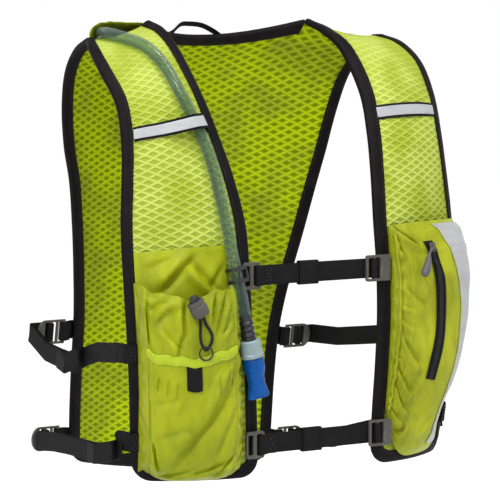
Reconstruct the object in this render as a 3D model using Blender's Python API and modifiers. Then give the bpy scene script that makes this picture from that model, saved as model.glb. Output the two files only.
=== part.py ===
"""A running hydration vest in its worn shape, facing -Y, with the wearer's right at -X.

Units are metres, +Z is up. The origin lies midway between the neck ends of the two shoulder seams, where
the vest sits on the shoulders.
"""

import math

import bmesh
import bpy
import numpy as np
from mathutils import Matrix, Vector

OBJECT_NAME = "running_hydration_vest"
RIGHT, LEFT = -1, 1
SIDE_NAMES = {RIGHT: "right", LEFT: "left"}
UPRIGHT = Vector((0, 0, 1))

# Cloth and webbing sizes
PANEL_THICKNESS = 0.0035
CLOTH = 0.0012
TAPE = 0.0010
BINDING_WIDTH = 0.012
BINDING_WALL = 0.0010
WEBBING_WIDTH = 0.020
WEBBING = 0.0014
GAP = 0.0004
BINDING_GAP = 0.0008

# Where a thin piece lies on a panel, and on the binding that edges it
ON_PANEL = PANEL_THICKNESS / 2 + GAP
ON_BINDING = PANEL_THICKNESS / 2 + BINDING_GAP + BINDING_WALL + GAP

# Half of the front, from the shoulder seam down: both edges and how far the middle bows out
FRONT_ROWS = (
    # inner x, inner y, inner z, outer x, outer y, outer z, bow
    (0.0970, 0.0000, 0.0000, 0.1860, -0.0200, -0.0180, -0.0070),
    (0.0965, -0.0280, -0.0090, 0.1960, -0.0430, -0.0270, -0.0020),
    (0.1000, -0.0600, -0.0300, 0.2000, -0.0690, -0.0480, 0.0060),
    (0.0980, -0.0970, -0.0730, 0.1965, -0.0935, -0.0800, 0.0100),
    (0.0920, -0.1190, -0.1140, 0.1970, -0.1045, -0.1180, 0.0110),
    (0.0850, -0.1360, -0.1560, 0.2000, -0.1095, -0.1580, 0.0110),
    (0.0795, -0.1485, -0.2020, 0.2035, -0.1135, -0.2020, 0.0110),
    (0.0790, -0.1550, -0.2500, 0.2040, -0.1185, -0.2500, 0.0110),
    (0.0780, -0.1580, -0.3000, 0.2030, -0.1225, -0.3000, 0.0110),
    (0.0750, -0.1590, -0.3500, 0.2000, -0.1220, -0.3500, 0.0105),
    (0.0720, -0.1580, -0.4000, 0.1945, -0.1150, -0.4000, 0.0100),
    (0.0700, -0.1575, -0.4530, 0.1890, -0.1090, -0.4530, 0.0100),
)

# The back, from the shoulders down: its outer edge, and its middle line
BACK_ROWS = (
    # edge x, edge y, edge z, middle y, middle z
    (0.1860, -0.0200, -0.0180, 0.0480, -0.0160),
    (0.1825, 0.0090, -0.0310, 0.0620, -0.0360),
    (0.1785, 0.0330, -0.0560, 0.0740, -0.0600),
    (0.1730, 0.0480, -0.0930, 0.0850, -0.0950),
    (0.1655, 0.0570, -0.1350, 0.0940, -0.1350),
    (0.1555, 0.0630, -0.1750, 0.1010, -0.1750),
    (0.1465, 0.0730, -0.2220, 0.1080, -0.2220),
    (0.1380, 0.0850, -0.2700, 0.1160, -0.2700),
    (0.1315, 0.0960, -0.3220, 0.1240, -0.3220),
    (0.1300, 0.1040, -0.3730, 0.1310, -0.3730),
    (0.1295, 0.1090, -0.4230, 0.1350, -0.4250),
    (0.1285, 0.1130, -0.4780, 0.1380, -0.4890),
)

# Shoulder and neck
NECK_TIP = np.array((0.0970, 0.0, 0.0))
NECK_MIDDLE = np.array((0.0, 0.0480, -0.0160))
NECK_SHARE = 0.52
NECK_CURVE = 2.2
NECK_FADE = 0.30
BACK_TILT = 0.0115
SHOULDER_SAG = 0.006
SEAM_GAP = 0.0022

# Hem corners, and how far one metre goes in t near the hem and near the neck
HEM_RADIUS = 0.020
T_PER_METRE_HEM = 1.715
T_PER_METRE_NECK = 3.4
HEM_START = 1 - HEM_RADIUS * T_PER_METRE_HEM
EDGE_INSET = BINDING_WALL + 0.0005

# Heights along the panels, as t from 0 at the seam to 1 at the hem
FRONT_HEIGHTS = (0, 0.02, 0.05, 0.08, 0.12, 0.16, 0.205, 0.255, 0.31, 0.38, 0.46, 0.56, 0.66, 0.76, 0.87)
BACK_HEIGHTS = (0, 0.041, 0.09, 0.14, 0.20, 0.27, 0.36, 0.46, 0.56, 0.67, 0.78, 0.88)

# Columns of the back between its edge bands, as shares of the half width, which its bindings share too
BACK_COLUMNS = (-0.75, -0.535, -0.505, -0.35, -0.175, 0, 0.175, 0.35, 0.505, 0.535, 0.75)
FRONT_COLUMNS = (0.3, 0.5, 0.7)

# The bottle pocket on the right front, across from its outer edge to its inner edge
POCKET_SECTION = (
    # share of the panel's width, rise, t of the mouth, t of the base
    (0.895, 0.0029, 0.645, 0.964),
    (0.893, 0.0090, 0.646, 0.966),
    (0.885, 0.0170, 0.648, 0.969),
    (0.862, 0.0260, 0.652, 0.975),
    (0.800, 0.0310, 0.660, 0.985),
    (0.700, 0.0340, 0.669, 0.989),
    (0.600, 0.0355, 0.676, 0.990),
    (0.500, 0.0355, 0.673, 0.990),
    (0.400, 0.0335, 0.664, 0.989),
    (0.325, 0.0310, 0.659, 0.988),
    (0.262, 0.0270, 0.660, 0.985),
    (0.222, 0.0205, 0.664, 0.980),
    (0.202, 0.0120, 0.668, 0.974),
    (0.196, 0.0029, 0.671, 0.968),
)
POCKET_FULLNESS = (
    # share of the height below the mouth, share of the full rise
    (0.00, 0.90),
    (0.05, 0.95),
    (0.12, 1.00),
    (0.25, 1.00),
    (0.50, 1.00),
    (0.74, 0.97),
    (0.86, 0.91),
    (0.93, 0.76),
    (0.97, 0.50),
    (1.00, 0.00),
)
POCKET_BASE_RISE = 0.0044
GATHER_HEIGHT = 0.0016
GATHER_COUNT = 5
GATHER_REACH = 0.22

# The zip pocket on the left front, across from its inner edge to its outer edge
ZIP_SECTION = (
    # share of the panel's width, rise, t of the top, t of the base, loss of rise at the lower outer corner
    (0.112, 0.0029, 0.566, 0.900, 0.0),
    (0.113, 0.0080, 0.564, 0.906, 0.0),
    (0.122, 0.0130, 0.562, 0.914, 0.0),
    (0.150, 0.0152, 0.559, 0.940, 0.0),
    (0.200, 0.0180, 0.557, 0.967, 0.0),
    (0.250, 0.0200, 0.557, 0.980, 0.0),
    (0.298, 0.0225, 0.557, 0.987, 0.0),
    (0.372, 0.0260, 0.557, 0.991, 0.0),
    (0.480, 0.0295, 0.557, 0.991, 0.0),
    (0.600, 0.0312, 0.557, 0.990, 0.05),
    (0.710, 0.0310, 0.557, 0.988, 0.20),
    (0.800, 0.0285, 0.557, 0.984, 0.40),
    (0.868, 0.0235, 0.557, 0.976, 0.60),
    (0.905, 0.0175, 0.558, 0.968, 0.60),
    (0.905, 0.0095, 0.558, 0.962, 0.60),
    (0.884, 0.0029, 0.558, 0.958, 0.0),
)
ZIP_FULLNESS = (
    # share of the height below the top, share of the full rise, loss there, share of the full width
    (0.00, 0.30, 0.00, 1.00),
    (0.05, 0.70, 0.00, 1.00),
    (0.13, 0.93, 0.00, 1.00),
    (0.26, 1.00, 0.15, 1.00),
    (0.40, 0.97, 0.45, 0.98),
    (0.55, 0.91, 0.80, 0.94),
    (0.70, 0.82, 1.15, 0.88),
    (0.82, 0.66, 1.50, 0.82),
    (0.91, 0.48, 1.60, 0.77),
    (0.97, 0.28, 1.60, 0.73),
    (1.00, 0.00, 1.60, 0.72),
)
ZIP_COLUMN = 6
ZIP_SHARES = (0.105, 0.13, 0.26, 0.40, 0.55, 0.665)
ZIP_BOW = 0.130
ZIP_BOW_REACH = 5.5
TAPER_FROM = 0.60
PIPING_COLUMN = 2
PIPING_RADIUS = 0.0015
STRIPE_COLUMNS = (9, 10, 11, 12)
STRIPE_TOP, STRIPE_BASE = 0.02, 0.97
ZIP_PULL_ROUTE = (
    # across, down, clear of the slider
    (0.0000, 0.0010, 0.0015),
    (-0.0050, 0.0030, 0.0022),
    (-0.0100, 0.0100, 0.0036),
    (-0.0150, 0.0180, 0.0050),
    (-0.0200, 0.0270, 0.0055),
    (-0.0235, 0.0350, 0.0055),
)
ZIP_PULL_RADII = (0.0010, 0.0010, 0.0013, 0.0030, 0.0036, 0.0046, 0.0044)

# The hang loop behind the neck
HANG_LOOP_ROUTE = (
    # share of the back's half width, t, height above the surface's line
    (-0.245, 0.020, 0.0),
    (-0.205, 0.010, 0.0020),
    (-0.150, 0.0, 0.0080),
    (-0.090, 0.0, 0.0095),
    (0.000, 0.0, 0.0080),
    (0.080, 0.008, 0.0030),
    (0.125, 0.020, 0.0),
)

# The bladder sleeve on the outside of the back, and the cover over the tube on the right shoulder
SLEEVE_HALF_SHARE = 0.66
SLEEVE_TOP, SLEEVE_BASE = 0.20, 0.950
SLEEVE_RISE = 0.024
COVER_TOP_SHARES = (-0.975, -0.60)
COVER_BASE_SHARES = (-0.66, -0.28)
COVER_RISE = 0.0145
COVER_PEAK = 0.576

# The drinking tube's route: from inside the sleeve to the right shoulder, then down the front
TUBE_RADIUS = 0.006
TUBE_ON_BACK = (
    # share of the back's half width, t, rise
    (-0.330, 0.310, 0.0092),
    (-0.370, 0.250, 0.0092),
    (-0.450, 0.200, 0.0092),
    (-0.590, 0.150, 0.0092),
    (-0.730, 0.100, 0.0092),
    (-0.825, 0.050, 0.0096),
    (-0.865, 0.012, 0.0100),
)
TUBE_ON_FRONT = (
    (-0.1635, -0.0270, -0.0101),
    (-0.1560, -0.0440, -0.0140),
    (-0.1475, -0.0621, -0.0202),
    (-0.1410, -0.0760, -0.0290),
    (-0.1366, -0.0924, -0.0437),
    (-0.1336, -0.1076, -0.0617),
    (-0.1297, -0.1182, -0.0786),
    (-0.1242, -0.1258, -0.0957),
    (-0.1192, -0.1327, -0.1132),
    (-0.1151, -0.1389, -0.1310),
    (-0.1120, -0.1447, -0.1500),
    (-0.1100, -0.1495, -0.1680),
    (-0.1082, -0.1545, -0.1870),
    (-0.1066, -0.1592, -0.2060),
    (-0.1052, -0.1633, -0.2240),
    (-0.1032, -0.1668, -0.2410),
    (-0.1012, -0.1697, -0.2560),
    (-0.0997, -0.1735, -0.2720),
    (-0.0965, -0.1742, -0.2880),
)
TUBE_SPACING = 0.021

# The fittings at the tube's lower end, one behind the other on its line
FITTING_AXIS = Vector((0.19, -0.012, -0.98)).normalized()
CONNECTOR_LENGTH = 0.024
COLLAR_LENGTH = 0.018
VALVE_LENGTH = 0.041
FITTING_GAP = 0.0005

# The front straps: heights of their middle lines and the plane of their frames
STERNUM_HEIGHT = -0.2505
WAIST_HEIGHT = -0.4195
FRAME_THICKNESS = 0.0032
STERNUM_PLANE = -0.1618
WAIST_PLANE = -0.1679
STERNUM_PLATE_END, WAIST_PLATE_END = 0.0905, 0.0880
HOOK_X, BUCKLE_X = -0.0805, 0.0705
KEEPER_X = -0.0095
STRAP_TAIL_X = -0.030

# How webbing runs round a bar of a frame, and how far the side straps' layers and loops stand apart
BESIDE_BAR = 0.0026
BEHIND_FRAME = 0.0030
SECOND_LAYER = 0.0051
SIDE_LAYER = 0.0022
SIDE_LOOP = 0.0100

# The four side straps, each from a ladder buckle near the back's edge to the front's edge
SIDE_RUN = (0.100, 0.060, 0.025, -0.008, -0.035, -0.065, -0.100)
SIDE_STRAPS = (
    # side, level, buckle x, y, z, layers behind the frame (1) or before it (-1), the loop's first and last
    # place in the run, then heights along the run
    (
        (RIGHT, "upper", 0.1600, 0.0970, -0.3260, 1, 2, 4),
        (-0.3365, -0.3410, -0.3440, -0.3455, -0.3360, -0.3280, -0.3250),
    ),
    (
        (RIGHT, "lower", 0.1590, 0.1115, -0.4410, -1, 4, 6),
        (-0.4395, -0.4365, -0.4345, -0.4335, -0.4330, -0.4310, -0.4230),
    ),
    (
        (LEFT, "upper", 0.1558, 0.0986, -0.3500, 1, 1, 3),
        (-0.3520, -0.3490, -0.3450, -0.3410, -0.3370, -0.3330, -0.3290),
    ),
    (
        (LEFT, "lower", 0.1562, 0.1128, -0.4660, -1, 4, 6),
        (-0.4680, -0.4620, -0.4520, -0.4430, -0.4370, -0.4300, -0.4215),
    ),
)
ANCHOR_HEIGHTS = {"upper": 0.755, "lower": 0.960}
ANCHOR_LIFTS = {"upper": 0.0002, "lower": 0.0015}
STRAP_CLEAR = {"upper": 0.0046, "lower": 0.0051}
FRONT_END_HEIGHTS = {"upper": 0.770, "lower": 0.931}

# The cord lock, its cord and ring, in front of the bottle pocket
LOCK_SHARE, LOCK_T, LOCK_RISE = 0.540, 0.689, 0.0453
LOCK_RADIUS, LOCK_LENGTH = 0.0088, 0.0170
BUTTON_RADIUS, BUTTON_SOCKET = 0.0046, 0.0082
BUTTON_CLEARANCE = 0.0003
CORD_RADIUS = 0.00125
RING_RADIUS, RING_WIRE = 0.0067, 0.00085
LOCK_CORD_ROUTE = (
    # across, down, out, from the lock's middle
    (0.0010, 0.0030, -0.0052),
    (0.0026, 0.0080, -0.0052),
    (0.0034, 0.0140, -0.0048),
    (0.0032, 0.0200, -0.0040),
    (0.0028, 0.0270, -0.0030),
    (0.0034, 0.0340, -0.0022),
    (0.0058, 0.0392, -0.0008),
    (0.0090, 0.0416, -0.0042),
    (0.0122, 0.0398, -0.0076),
    (0.0152, 0.0345, -0.0066),
    (0.0158, 0.0280, -0.0064),
    (0.0130, 0.0220, -0.0062),
    (0.0092, 0.0165, -0.0056),
    (0.0072, 0.0110, -0.0052),
    (0.0052, 0.0050, -0.0052),
)
RING_PLACE = (0.0090, 0.0449, -0.0042)

FINISHES = {
    # name: colour, roughness
    "lime_mesh": ((0.55, 0.67, 0.08), 0.80),
    "lime_cloth": ((0.50, 0.60, 0.05), 0.65),
    "black_binding": ((0.012, 0.011, 0.012), 0.75),
    "black_webbing": ((0.016, 0.016, 0.018), 0.70),
    "silver_tape": ((0.45, 0.46, 0.48), 0.45),
    "grey_plastic": ((0.07, 0.07, 0.065), 0.45),
    "black_plastic": ((0.015, 0.015, 0.016), 0.40),
    "clear_tube": ((0.55, 0.62, 0.60), 0.15),
    "frosted_plastic": ((0.50, 0.55, 0.56), 0.35),
    "blue_rubber": ((0.01, 0.12, 0.42), 0.45),
}


def finish(name):
    """The material of this name, made once."""
    material = bpy.data.materials.get(name)
    if material is None:
        colour, roughness = FINISHES[name]
        material = bpy.data.materials.new(name)
        material.use_nodes = True
        shader = material.node_tree.nodes["Principled BSDF"]
        shader.inputs["Base Color"].default_value = (*colour, 1.0)
        shader.inputs["Roughness"].default_value = roughness
        shader.inputs["Metallic"].default_value = 0.0
        material.diffuse_color = (*colour, 1.0)
    return material


def new_collection(name):
    collection = bpy.data.collections.new(name)
    bpy.context.scene.collection.children.link(collection)
    return collection


def add_object(name, data, material, matrix=None):
    """Link a new object with one material."""
    thing = bpy.data.objects.new(name, data)
    PARTS.objects.link(thing)
    if material:
        data.materials.append(finish(material))
    if matrix is not None:
        thing.matrix_world = matrix
    return thing


def take(thing, name, material):
    """Move an object that a primitive made to the parts, and name it."""
    for holder in list(thing.users_collection):
        holder.objects.unlink(thing)
    PARTS.objects.link(thing)
    thing.name = name
    thing.data.name = name
    if material:
        thing.data.materials.append(finish(material))
    return thing


def cutter(thing):
    """Make an object a hidden cutting shape."""
    PARTS.objects.unlink(thing)
    CUTTERS.objects.link(thing)
    thing.hide_render = True
    thing.display_type = "WIRE"
    return thing


def cut(thing, tool, operation="DIFFERENCE"):
    modifier = thing.modifiers.new(tool.name, "BOOLEAN")
    modifier.operation = operation
    modifier.object = tool


def bevel(thing, width, segments=1, angle=40):
    modifier = thing.modifiers.new("Bevel", "BEVEL")
    modifier.width = width
    modifier.segments = segments
    modifier.limit_method = "ANGLE"
    modifier.angle_limit = math.radians(angle)


def solidify(thing, thickness):
    modifier = thing.modifiers.new("Solidify", "SOLIDIFY")
    modifier.thickness = thickness
    modifier.offset = 0
    modifier.use_even_offset = True
    modifier.use_quality_normals = True


# Smooth curves

def blend(before, start, end, after, share):
    """A point on the smooth curve from start to end."""
    square, cube = share * share, share**3
    return (
        (2 * cube - 3 * square + 1) * start
        + (cube - 2 * square + share) * (end - before) / 2
        + (3 * square - 2 * cube) * end
        + (cube - square) * (after - start) / 2
    )


def read(rows, t):
    """The row at t, from 0 to 1, on a smooth curve through a table's evenly spread rows."""
    rows = np.asarray(rows, float)
    last = len(rows) - 1
    place = min(max(t, 0.0), 1.0) * last
    first = min(int(place), last - 1)
    start, end = rows[first], rows[first + 1]
    before = rows[first - 1] if first else 2 * start - end
    after = rows[first + 2] if first + 2 <= last else 2 * end - start
    return blend(before, start, end, after, place - first)


def smooth_route(points, spacing):
    """Points about this far apart on a smooth curve through the given points."""
    length = sum(math.dist(a, b) for a, b in zip(points, points[1:]))
    count = max(2, round(length / spacing))
    return [Vector(read(points, step / count)) for step in range(count + 1)]


def rounded_path(points, radius, steps=3):
    """A polyline whose corners are turned on arcs."""
    points = [Vector(point) for point in points]
    path = [points[0]]
    for before, corner, after in zip(points, points[1:], points[2:]):
        arrive = (corner - before).normalized()
        leave = (after - corner).normalized()
        turn = arrive.angle(leave)
        if turn < math.radians(12):
            path.append(corner)
            continue
        reach = min(
            radius * math.tan(turn / 2), (corner - before).length * 0.48, (after - corner).length * 0.48
        )
        start, end = corner - arrive * reach, corner + leave * reach
        for step in range(steps + 1):
            share = step / steps
            path.append(start.lerp(corner, share).lerp(corner.lerp(end, share), share))
    return path + [points[-1]]


# The panels' middle surfaces

class FrontPanel:
    """One front panel: points by their distance in from its inner edge, and t down from the seam."""

    def __init__(self, side):
        self.side = side

    def width(self, t):
        row = read(FRONT_ROWS, t)
        return float(np.linalg.norm(row[3:6] - row[0:3]))

    def middle(self, s, t):
        row = read(FRONT_ROWS, t)
        near = min(max(t, 0.01), 0.99)
        step = read(FRONT_ROWS, near + 0.01) - read(FRONT_ROWS, near - 0.01)
        out = np.cross(step[0:3] + step[3:6], row[3:6] - row[0:3])
        out /= np.linalg.norm(out)
        return row[0:3] * (1 - s) + row[3:6] * s + out * row[6] * 4 * s * (1 - s)

    def normal(self, s, t):
        near = min(max(t, 0.005), 0.995)
        down = self.middle(s, near + 0.005) - self.middle(s, near - 0.005)
        out = np.cross(down, self.middle(s + 0.01, t) - self.middle(s - 0.01, t))
        return out / np.linalg.norm(out)

    def at_share(self, s, t, rise=0.0):
        """The point at a share of the width, at a height above the middle surface."""
        point = self.middle(s, t) + self.normal(s, t) * rise
        return Vector((point[0] * self.side, point[1], point[2]))

    def point(self, distance, t, rise=0.0):
        return self.at_share(distance / self.width(t), t, rise)


class BackPanel:
    """The back panel: points by their distance in from its right edge, and t down from the shoulders."""

    def width(self, t):
        return 2 * float(read(BACK_ROWS, t)[0])

    def plain(self, row, s):
        square = s * s
        return np.array(
            (row[0] * s, row[3] + (row[1] - row[3]) * square, row[4] + (row[2] - row[4]) * square)
        )

    def tilt(self, s, t):
        """How far the left side hangs lower than the middle."""
        return np.array((0.0, 0.0, -BACK_TILT * s * min(1.0, t / 0.6)))

    def top(self, s):
        """The neck's curve, and the shoulder seams that sag beside it."""
        share = abs(s) / NECK_SHARE
        if share <= 1:
            point = NECK_MIDDLE + (NECK_TIP - NECK_MIDDLE) * np.array(
                (share, share**NECK_CURVE, share**NECK_CURVE)
            )
        else:
            share = (abs(s) - NECK_SHARE) / (1 - NECK_SHARE)
            point = NECK_TIP + (np.array(BACK_ROWS[0][0:3]) - NECK_TIP) * share
            point[2] -= SHOULDER_SAG * 4 * share * (1 - share)
        return np.array((math.copysign(point[0], s), point[1], point[2]))

    def middle(self, s, t):
        point = self.plain(read(BACK_ROWS, t), s)
        fade = max(0.0, 1 - t / NECK_FADE) ** 2
        return point + fade * (self.top(s) - self.plain(np.asarray(BACK_ROWS[0], float), s)) + self.tilt(s, t)

    def normal(self, s, t):
        near = min(max(t, 0.005), 0.995)
        down = self.middle(s, near + 0.005) - self.middle(s, near - 0.005)
        out = np.cross(self.middle(s + 0.01, t) - self.middle(s - 0.01, t), down)
        return out / np.linalg.norm(out)

    def at_share(self, s, t, rise=0.0):
        return Vector(self.middle(s, t) + self.normal(s, t) * rise)

    def point(self, distance, t, rise=0.0):
        return self.at_share(2 * distance / self.width(t) - 1, t, rise)


# Cloth, as open sheets with a wall

def sheet(name, material, columns, rows, place, thickness):
    """A grid whose points a function places by column and row, with a wall of even thickness."""
    mesh = bpy.data.meshes.new(name)
    shape = bmesh.new()
    bmesh.ops.create_grid(shape, x_segments=columns - 1, y_segments=rows - 1, size=0.5)
    for vert in shape.verts:
        column = round((vert.co.x + 0.5) * (columns - 1))
        row = round((vert.co.y + 0.5) * (rows - 1))
        vert.co = place(column, row)
    shape.to_mesh(mesh)
    shape.free()
    mesh.shade_smooth()
    thing = add_object(name, mesh, material)
    solidify(thing, thickness)
    return thing


def webbing(name, path, first_up=UPRIGHT, last_up=None, width=WEBBING_WIDTH, turn_from=0):
    """A flat strap along a path, its width turning from one upright to another after a given row."""
    path = [Vector(point) for point in path]
    last_up = last_up or first_up

    def place(column, row):
        ahead = path[min(row + 1, len(path) - 1)] - path[max(row - 1, 0)]
        ahead.normalize()
        share = max(0.0, (row - turn_from) / (len(path) - 1 - turn_from))
        upright = first_up.lerp(last_up, share)
        across = upright - ahead * upright.dot(ahead)
        across.normalize()
        return path[row] + across * width * (column - 0.5)

    return sheet(name, "black_webbing", 2, len(path), place, WEBBING)


def panel_grid(heights, inset):
    """Rows of (t, inset from the outline) down a panel, with its hem corners rounded."""
    rows = [(t, inset) for t in heights] + [(HEM_START, inset)]
    radius = HEM_RADIUS - inset
    for angle in (30, 60, 90):
        turn = math.radians(angle)
        rows.append(
            (HEM_START + radius * math.sin(turn) * T_PER_METRE_HEM, HEM_RADIUS - radius * math.cos(turn))
        )
    return rows


def outline_path(heights, panel, columns):
    """(side, distance in, t, inward across, inward down) along a panel's edges and round its hem.

    Side is 0 for the first edge, 1 for the second and 0.5 for the hem.
    """
    width = panel.width(1.0)
    first = [(0, 0.0, t, 1.0, 0.0) for t in heights] + [(0, 0.0, HEM_START, 1.0, 0.0)]
    for angle in (30, 60, 90):
        turn = math.radians(angle)
        distance = HEM_RADIUS * (1 - math.cos(turn))
        t = HEM_START + HEM_RADIUS * math.sin(turn) * T_PER_METRE_HEM
        first.append((0, distance, t, math.cos(turn), -math.sin(turn)))
    hem = [(0.5, HEM_RADIUS + share * (width - 2 * HEM_RADIUS), 1.0, 0.0, -1.0) for share in columns]
    second = [(1, distance, t, across, down) for _, distance, t, across, down in reversed(first)]
    return first + hem + second


def edge_binding(name, panel, path, t_per_metre, clear=BINDING_GAP):
    """A tape folded over a panel's edge, along a path of outline points."""
    half = PANEL_THICKNESS / 2 + clear + BINDING_WALL / 2

    def place(column, row):
        side, distance, t, across, down = path[row]
        inset = BINDING_WIDTH if column in (0, 3) else BINDING_WALL / 2
        t_in = t + down * inset * t_per_metre
        from_edge = distance + across * inset
        if side == 1:
            from_edge = panel.width(t_in) - from_edge
        return panel.point(from_edge, t_in, half if column < 2 else -half)

    return sheet(name, "black_binding", 4, len(path), place, BINDING_WALL)


def front_panel(side):
    panel = FrontPanel(side)
    heights = (SEAM_GAP * T_PER_METRE_NECK, *FRONT_HEIGHTS[1:])
    rows = panel_grid(heights, EDGE_INSET)

    def place(column, row):
        t, inset = rows[row]
        width = panel.width(t)
        band = (BINDING_WIDTH - EDGE_INSET) / (width - 2 * EDGE_INSET)
        share = (0, band, *FRONT_COLUMNS, 1 - band, 1)[column]
        return panel.point(inset + share * (width - 2 * inset), t)

    name = SIDE_NAMES[side]
    sheet(f"{name}_front_panel", "lime_mesh", len(FRONT_COLUMNS) + 4, len(rows), place, PANEL_THICKNESS)
    path = outline_path(heights, panel, FRONT_COLUMNS)
    edge_binding(f"{name}_front_binding", panel, path, T_PER_METRE_HEM)


def back_panel():
    panel = BackPanel()
    seam = SEAM_GAP * T_PER_METRE_NECK
    rows = panel_grid(BACK_HEIGHTS, EDGE_INSET)

    def place(column, row):
        t, inset = rows[row]
        half = panel.width(t) / 2
        band = 1 - BINDING_WIDTH / half
        share = (-1, -band, *BACK_COLUMNS, band, 1)[column]
        if row == 0:
            t = EDGE_INSET * T_PER_METRE_NECK if abs(share) < NECK_SHARE else seam
        return panel.at_share(share * (1 - inset / half), t)

    sheet("back_panel", "lime_mesh", len(BACK_COLUMNS) + 4, len(rows), place, PANEL_THICKNESS)
    path = outline_path((seam, *BACK_HEIGHTS[1:]), panel, [(share + 1) / 2 for share in BACK_COLUMNS])
    edge_binding("back_binding", panel, path, T_PER_METRE_HEM)
    shares = [share for share in BACK_COLUMNS if abs(share) < NECK_SHARE]
    path = [(0, (share + 1) * panel.width(0) / 2, 0.0, 0.0, 1.0) for share in shares]
    edge_binding("neck_binding", panel, path, T_PER_METRE_NECK, BINDING_GAP + 0.0004)


def hang_loop():
    """A small webbing loop on the outside of the neck binding."""
    panel = BackPanel()
    lift = ON_BINDING + WEBBING / 2 + 0.0001
    path = [panel.at_share(s, t, lift) + Vector((0, 0, up)) for s, t, up in HANG_LOOP_ROUTE]
    ups = []
    for s in (HANG_LOOP_ROUTE[0][0], HANG_LOOP_ROUTE[-1][0]):
        ups.append((panel.at_share(s, 0.0) - panel.at_share(s, 0.03)).normalized())
    webbing("hang_loop", smooth_route(path, 0.007), *ups, width=0.006)


def reflective_strip(side):
    """A tape across a shoulder, which on the right also holds the tube down."""
    panel = FrontPanel(side)
    half_height = 0.0145
    t_middle = {RIGHT: (0.338, 0.349), LEFT: (0.326, 0.312)}[side]
    tube_share = (0.300, 0.272)
    columns = 15

    def place(column, row):
        share = 0.135 + (0.870 - 0.135) * column / (columns - 1)
        t = t_middle[0] + (t_middle[1] - t_middle[0]) * share + half_height * (2 * row - 1)
        rise = ON_PANEL + TAPE / 2
        if side == RIGHT:
            away = abs(share - tube_share[row]) * panel.width(t)
            top = 0.0096 + TUBE_RADIUS + GAP + TAPE / 2
            rise += (top - rise) * min(1.0, max(0.0, (0.0150 - away) / 0.0100))
        return panel.at_share(share, t, rise)

    sheet(f"{SIDE_NAMES[side]}_reflective_strip", "silver_tape", columns, 2, place, TAPE)


# Pockets

def fullness(table, share, column=1):
    return float(np.interp(share, [row[0] for row in table], [row[column] for row in table]))


class Pocket:
    """A soft pocket that stands proud of a front panel."""

    def __init__(self, side):
        self.panel = FrontPanel(side)

    def surface(self, column, share, rise=0.0):
        """The point of a section column at a share of the height, and at a distance out from the cloth."""
        place = self.cloth(column, share)
        if not rise:
            return place
        last = len(self.section) - 1
        across = self.cloth(min(column + 1, last), share) - self.cloth(max(column - 1, 0), share)
        down = self.cloth(column, min(1.0, share + 0.03)) - self.cloth(column, max(0.0, share - 0.03))
        return place + down.cross(across).normalized() * rise

    def share_at(self, column, t):
        """The share of a column's height at which it reaches t."""
        top, base = self.section[column][2:4]
        return (t - top) / (base - top)


class BottlePocket(Pocket):
    """An open pocket whose mouth is gathered, described from its outer edge to its inner edge."""

    section = POCKET_SECTION
    rows = [row[0] for row in POCKET_FULLNESS]

    def cloth(self, column, share):
        s, out, top, base = self.section[column]
        floor = min(out, POCKET_BASE_RISE)
        if share > 0.9:
            floor = POCKET_BASE_RISE * min(1.0, (share - 0.9) / 0.07)
            floor = max(floor, min(out, POCKET_BASE_RISE))
        height = floor + max(0.0, out - floor) * fullness(POCKET_FULLNESS, share)
        if share < GATHER_REACH:
            last = len(self.section) - 1
            edge = min(1.0, column / 3, (last - column) / 3)
            wave = math.cos(2 * math.pi * GATHER_COUNT * column / last)
            height += GATHER_HEIGHT * edge * wave * (1 - share / GATHER_REACH)
        return self.panel.at_share(s, top + (base - top) * share, height)


class ZipPocket(Pocket):
    """A closed pocket whose zip bows outwards, described from its inner edge to its outer edge."""

    section = ZIP_SECTION
    rows = [row[0] for row in ZIP_FULLNESS]

    def cloth(self, column, share):
        s, out, top, base, loss = self.section[column]
        if s > TAPER_FROM:
            s = TAPER_FROM + (s - TAPER_FROM) * fullness(ZIP_FULLNESS, share, 3)
        away = min(1.0, abs(column - ZIP_COLUMN - 0.5) / ZIP_BOW_REACH)
        bow = math.cos(math.pi / 2 * away) ** 2 * math.sin(math.pi * min(1.0, share / 0.8))
        s += ZIP_BOW * max(0.0, bow)
        floor = min(out, POCKET_BASE_RISE)
        if share > 0.9:
            floor = max(floor, POCKET_BASE_RISE * min(1.0, (share - 0.9) / 0.07))
        full = fullness(ZIP_FULLNESS, share) * max(0.0, 1 - loss * fullness(ZIP_FULLNESS, share, 2))
        return self.panel.at_share(s, top + (base - top) * share, floor + max(0.0, out - floor) * full)


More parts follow.
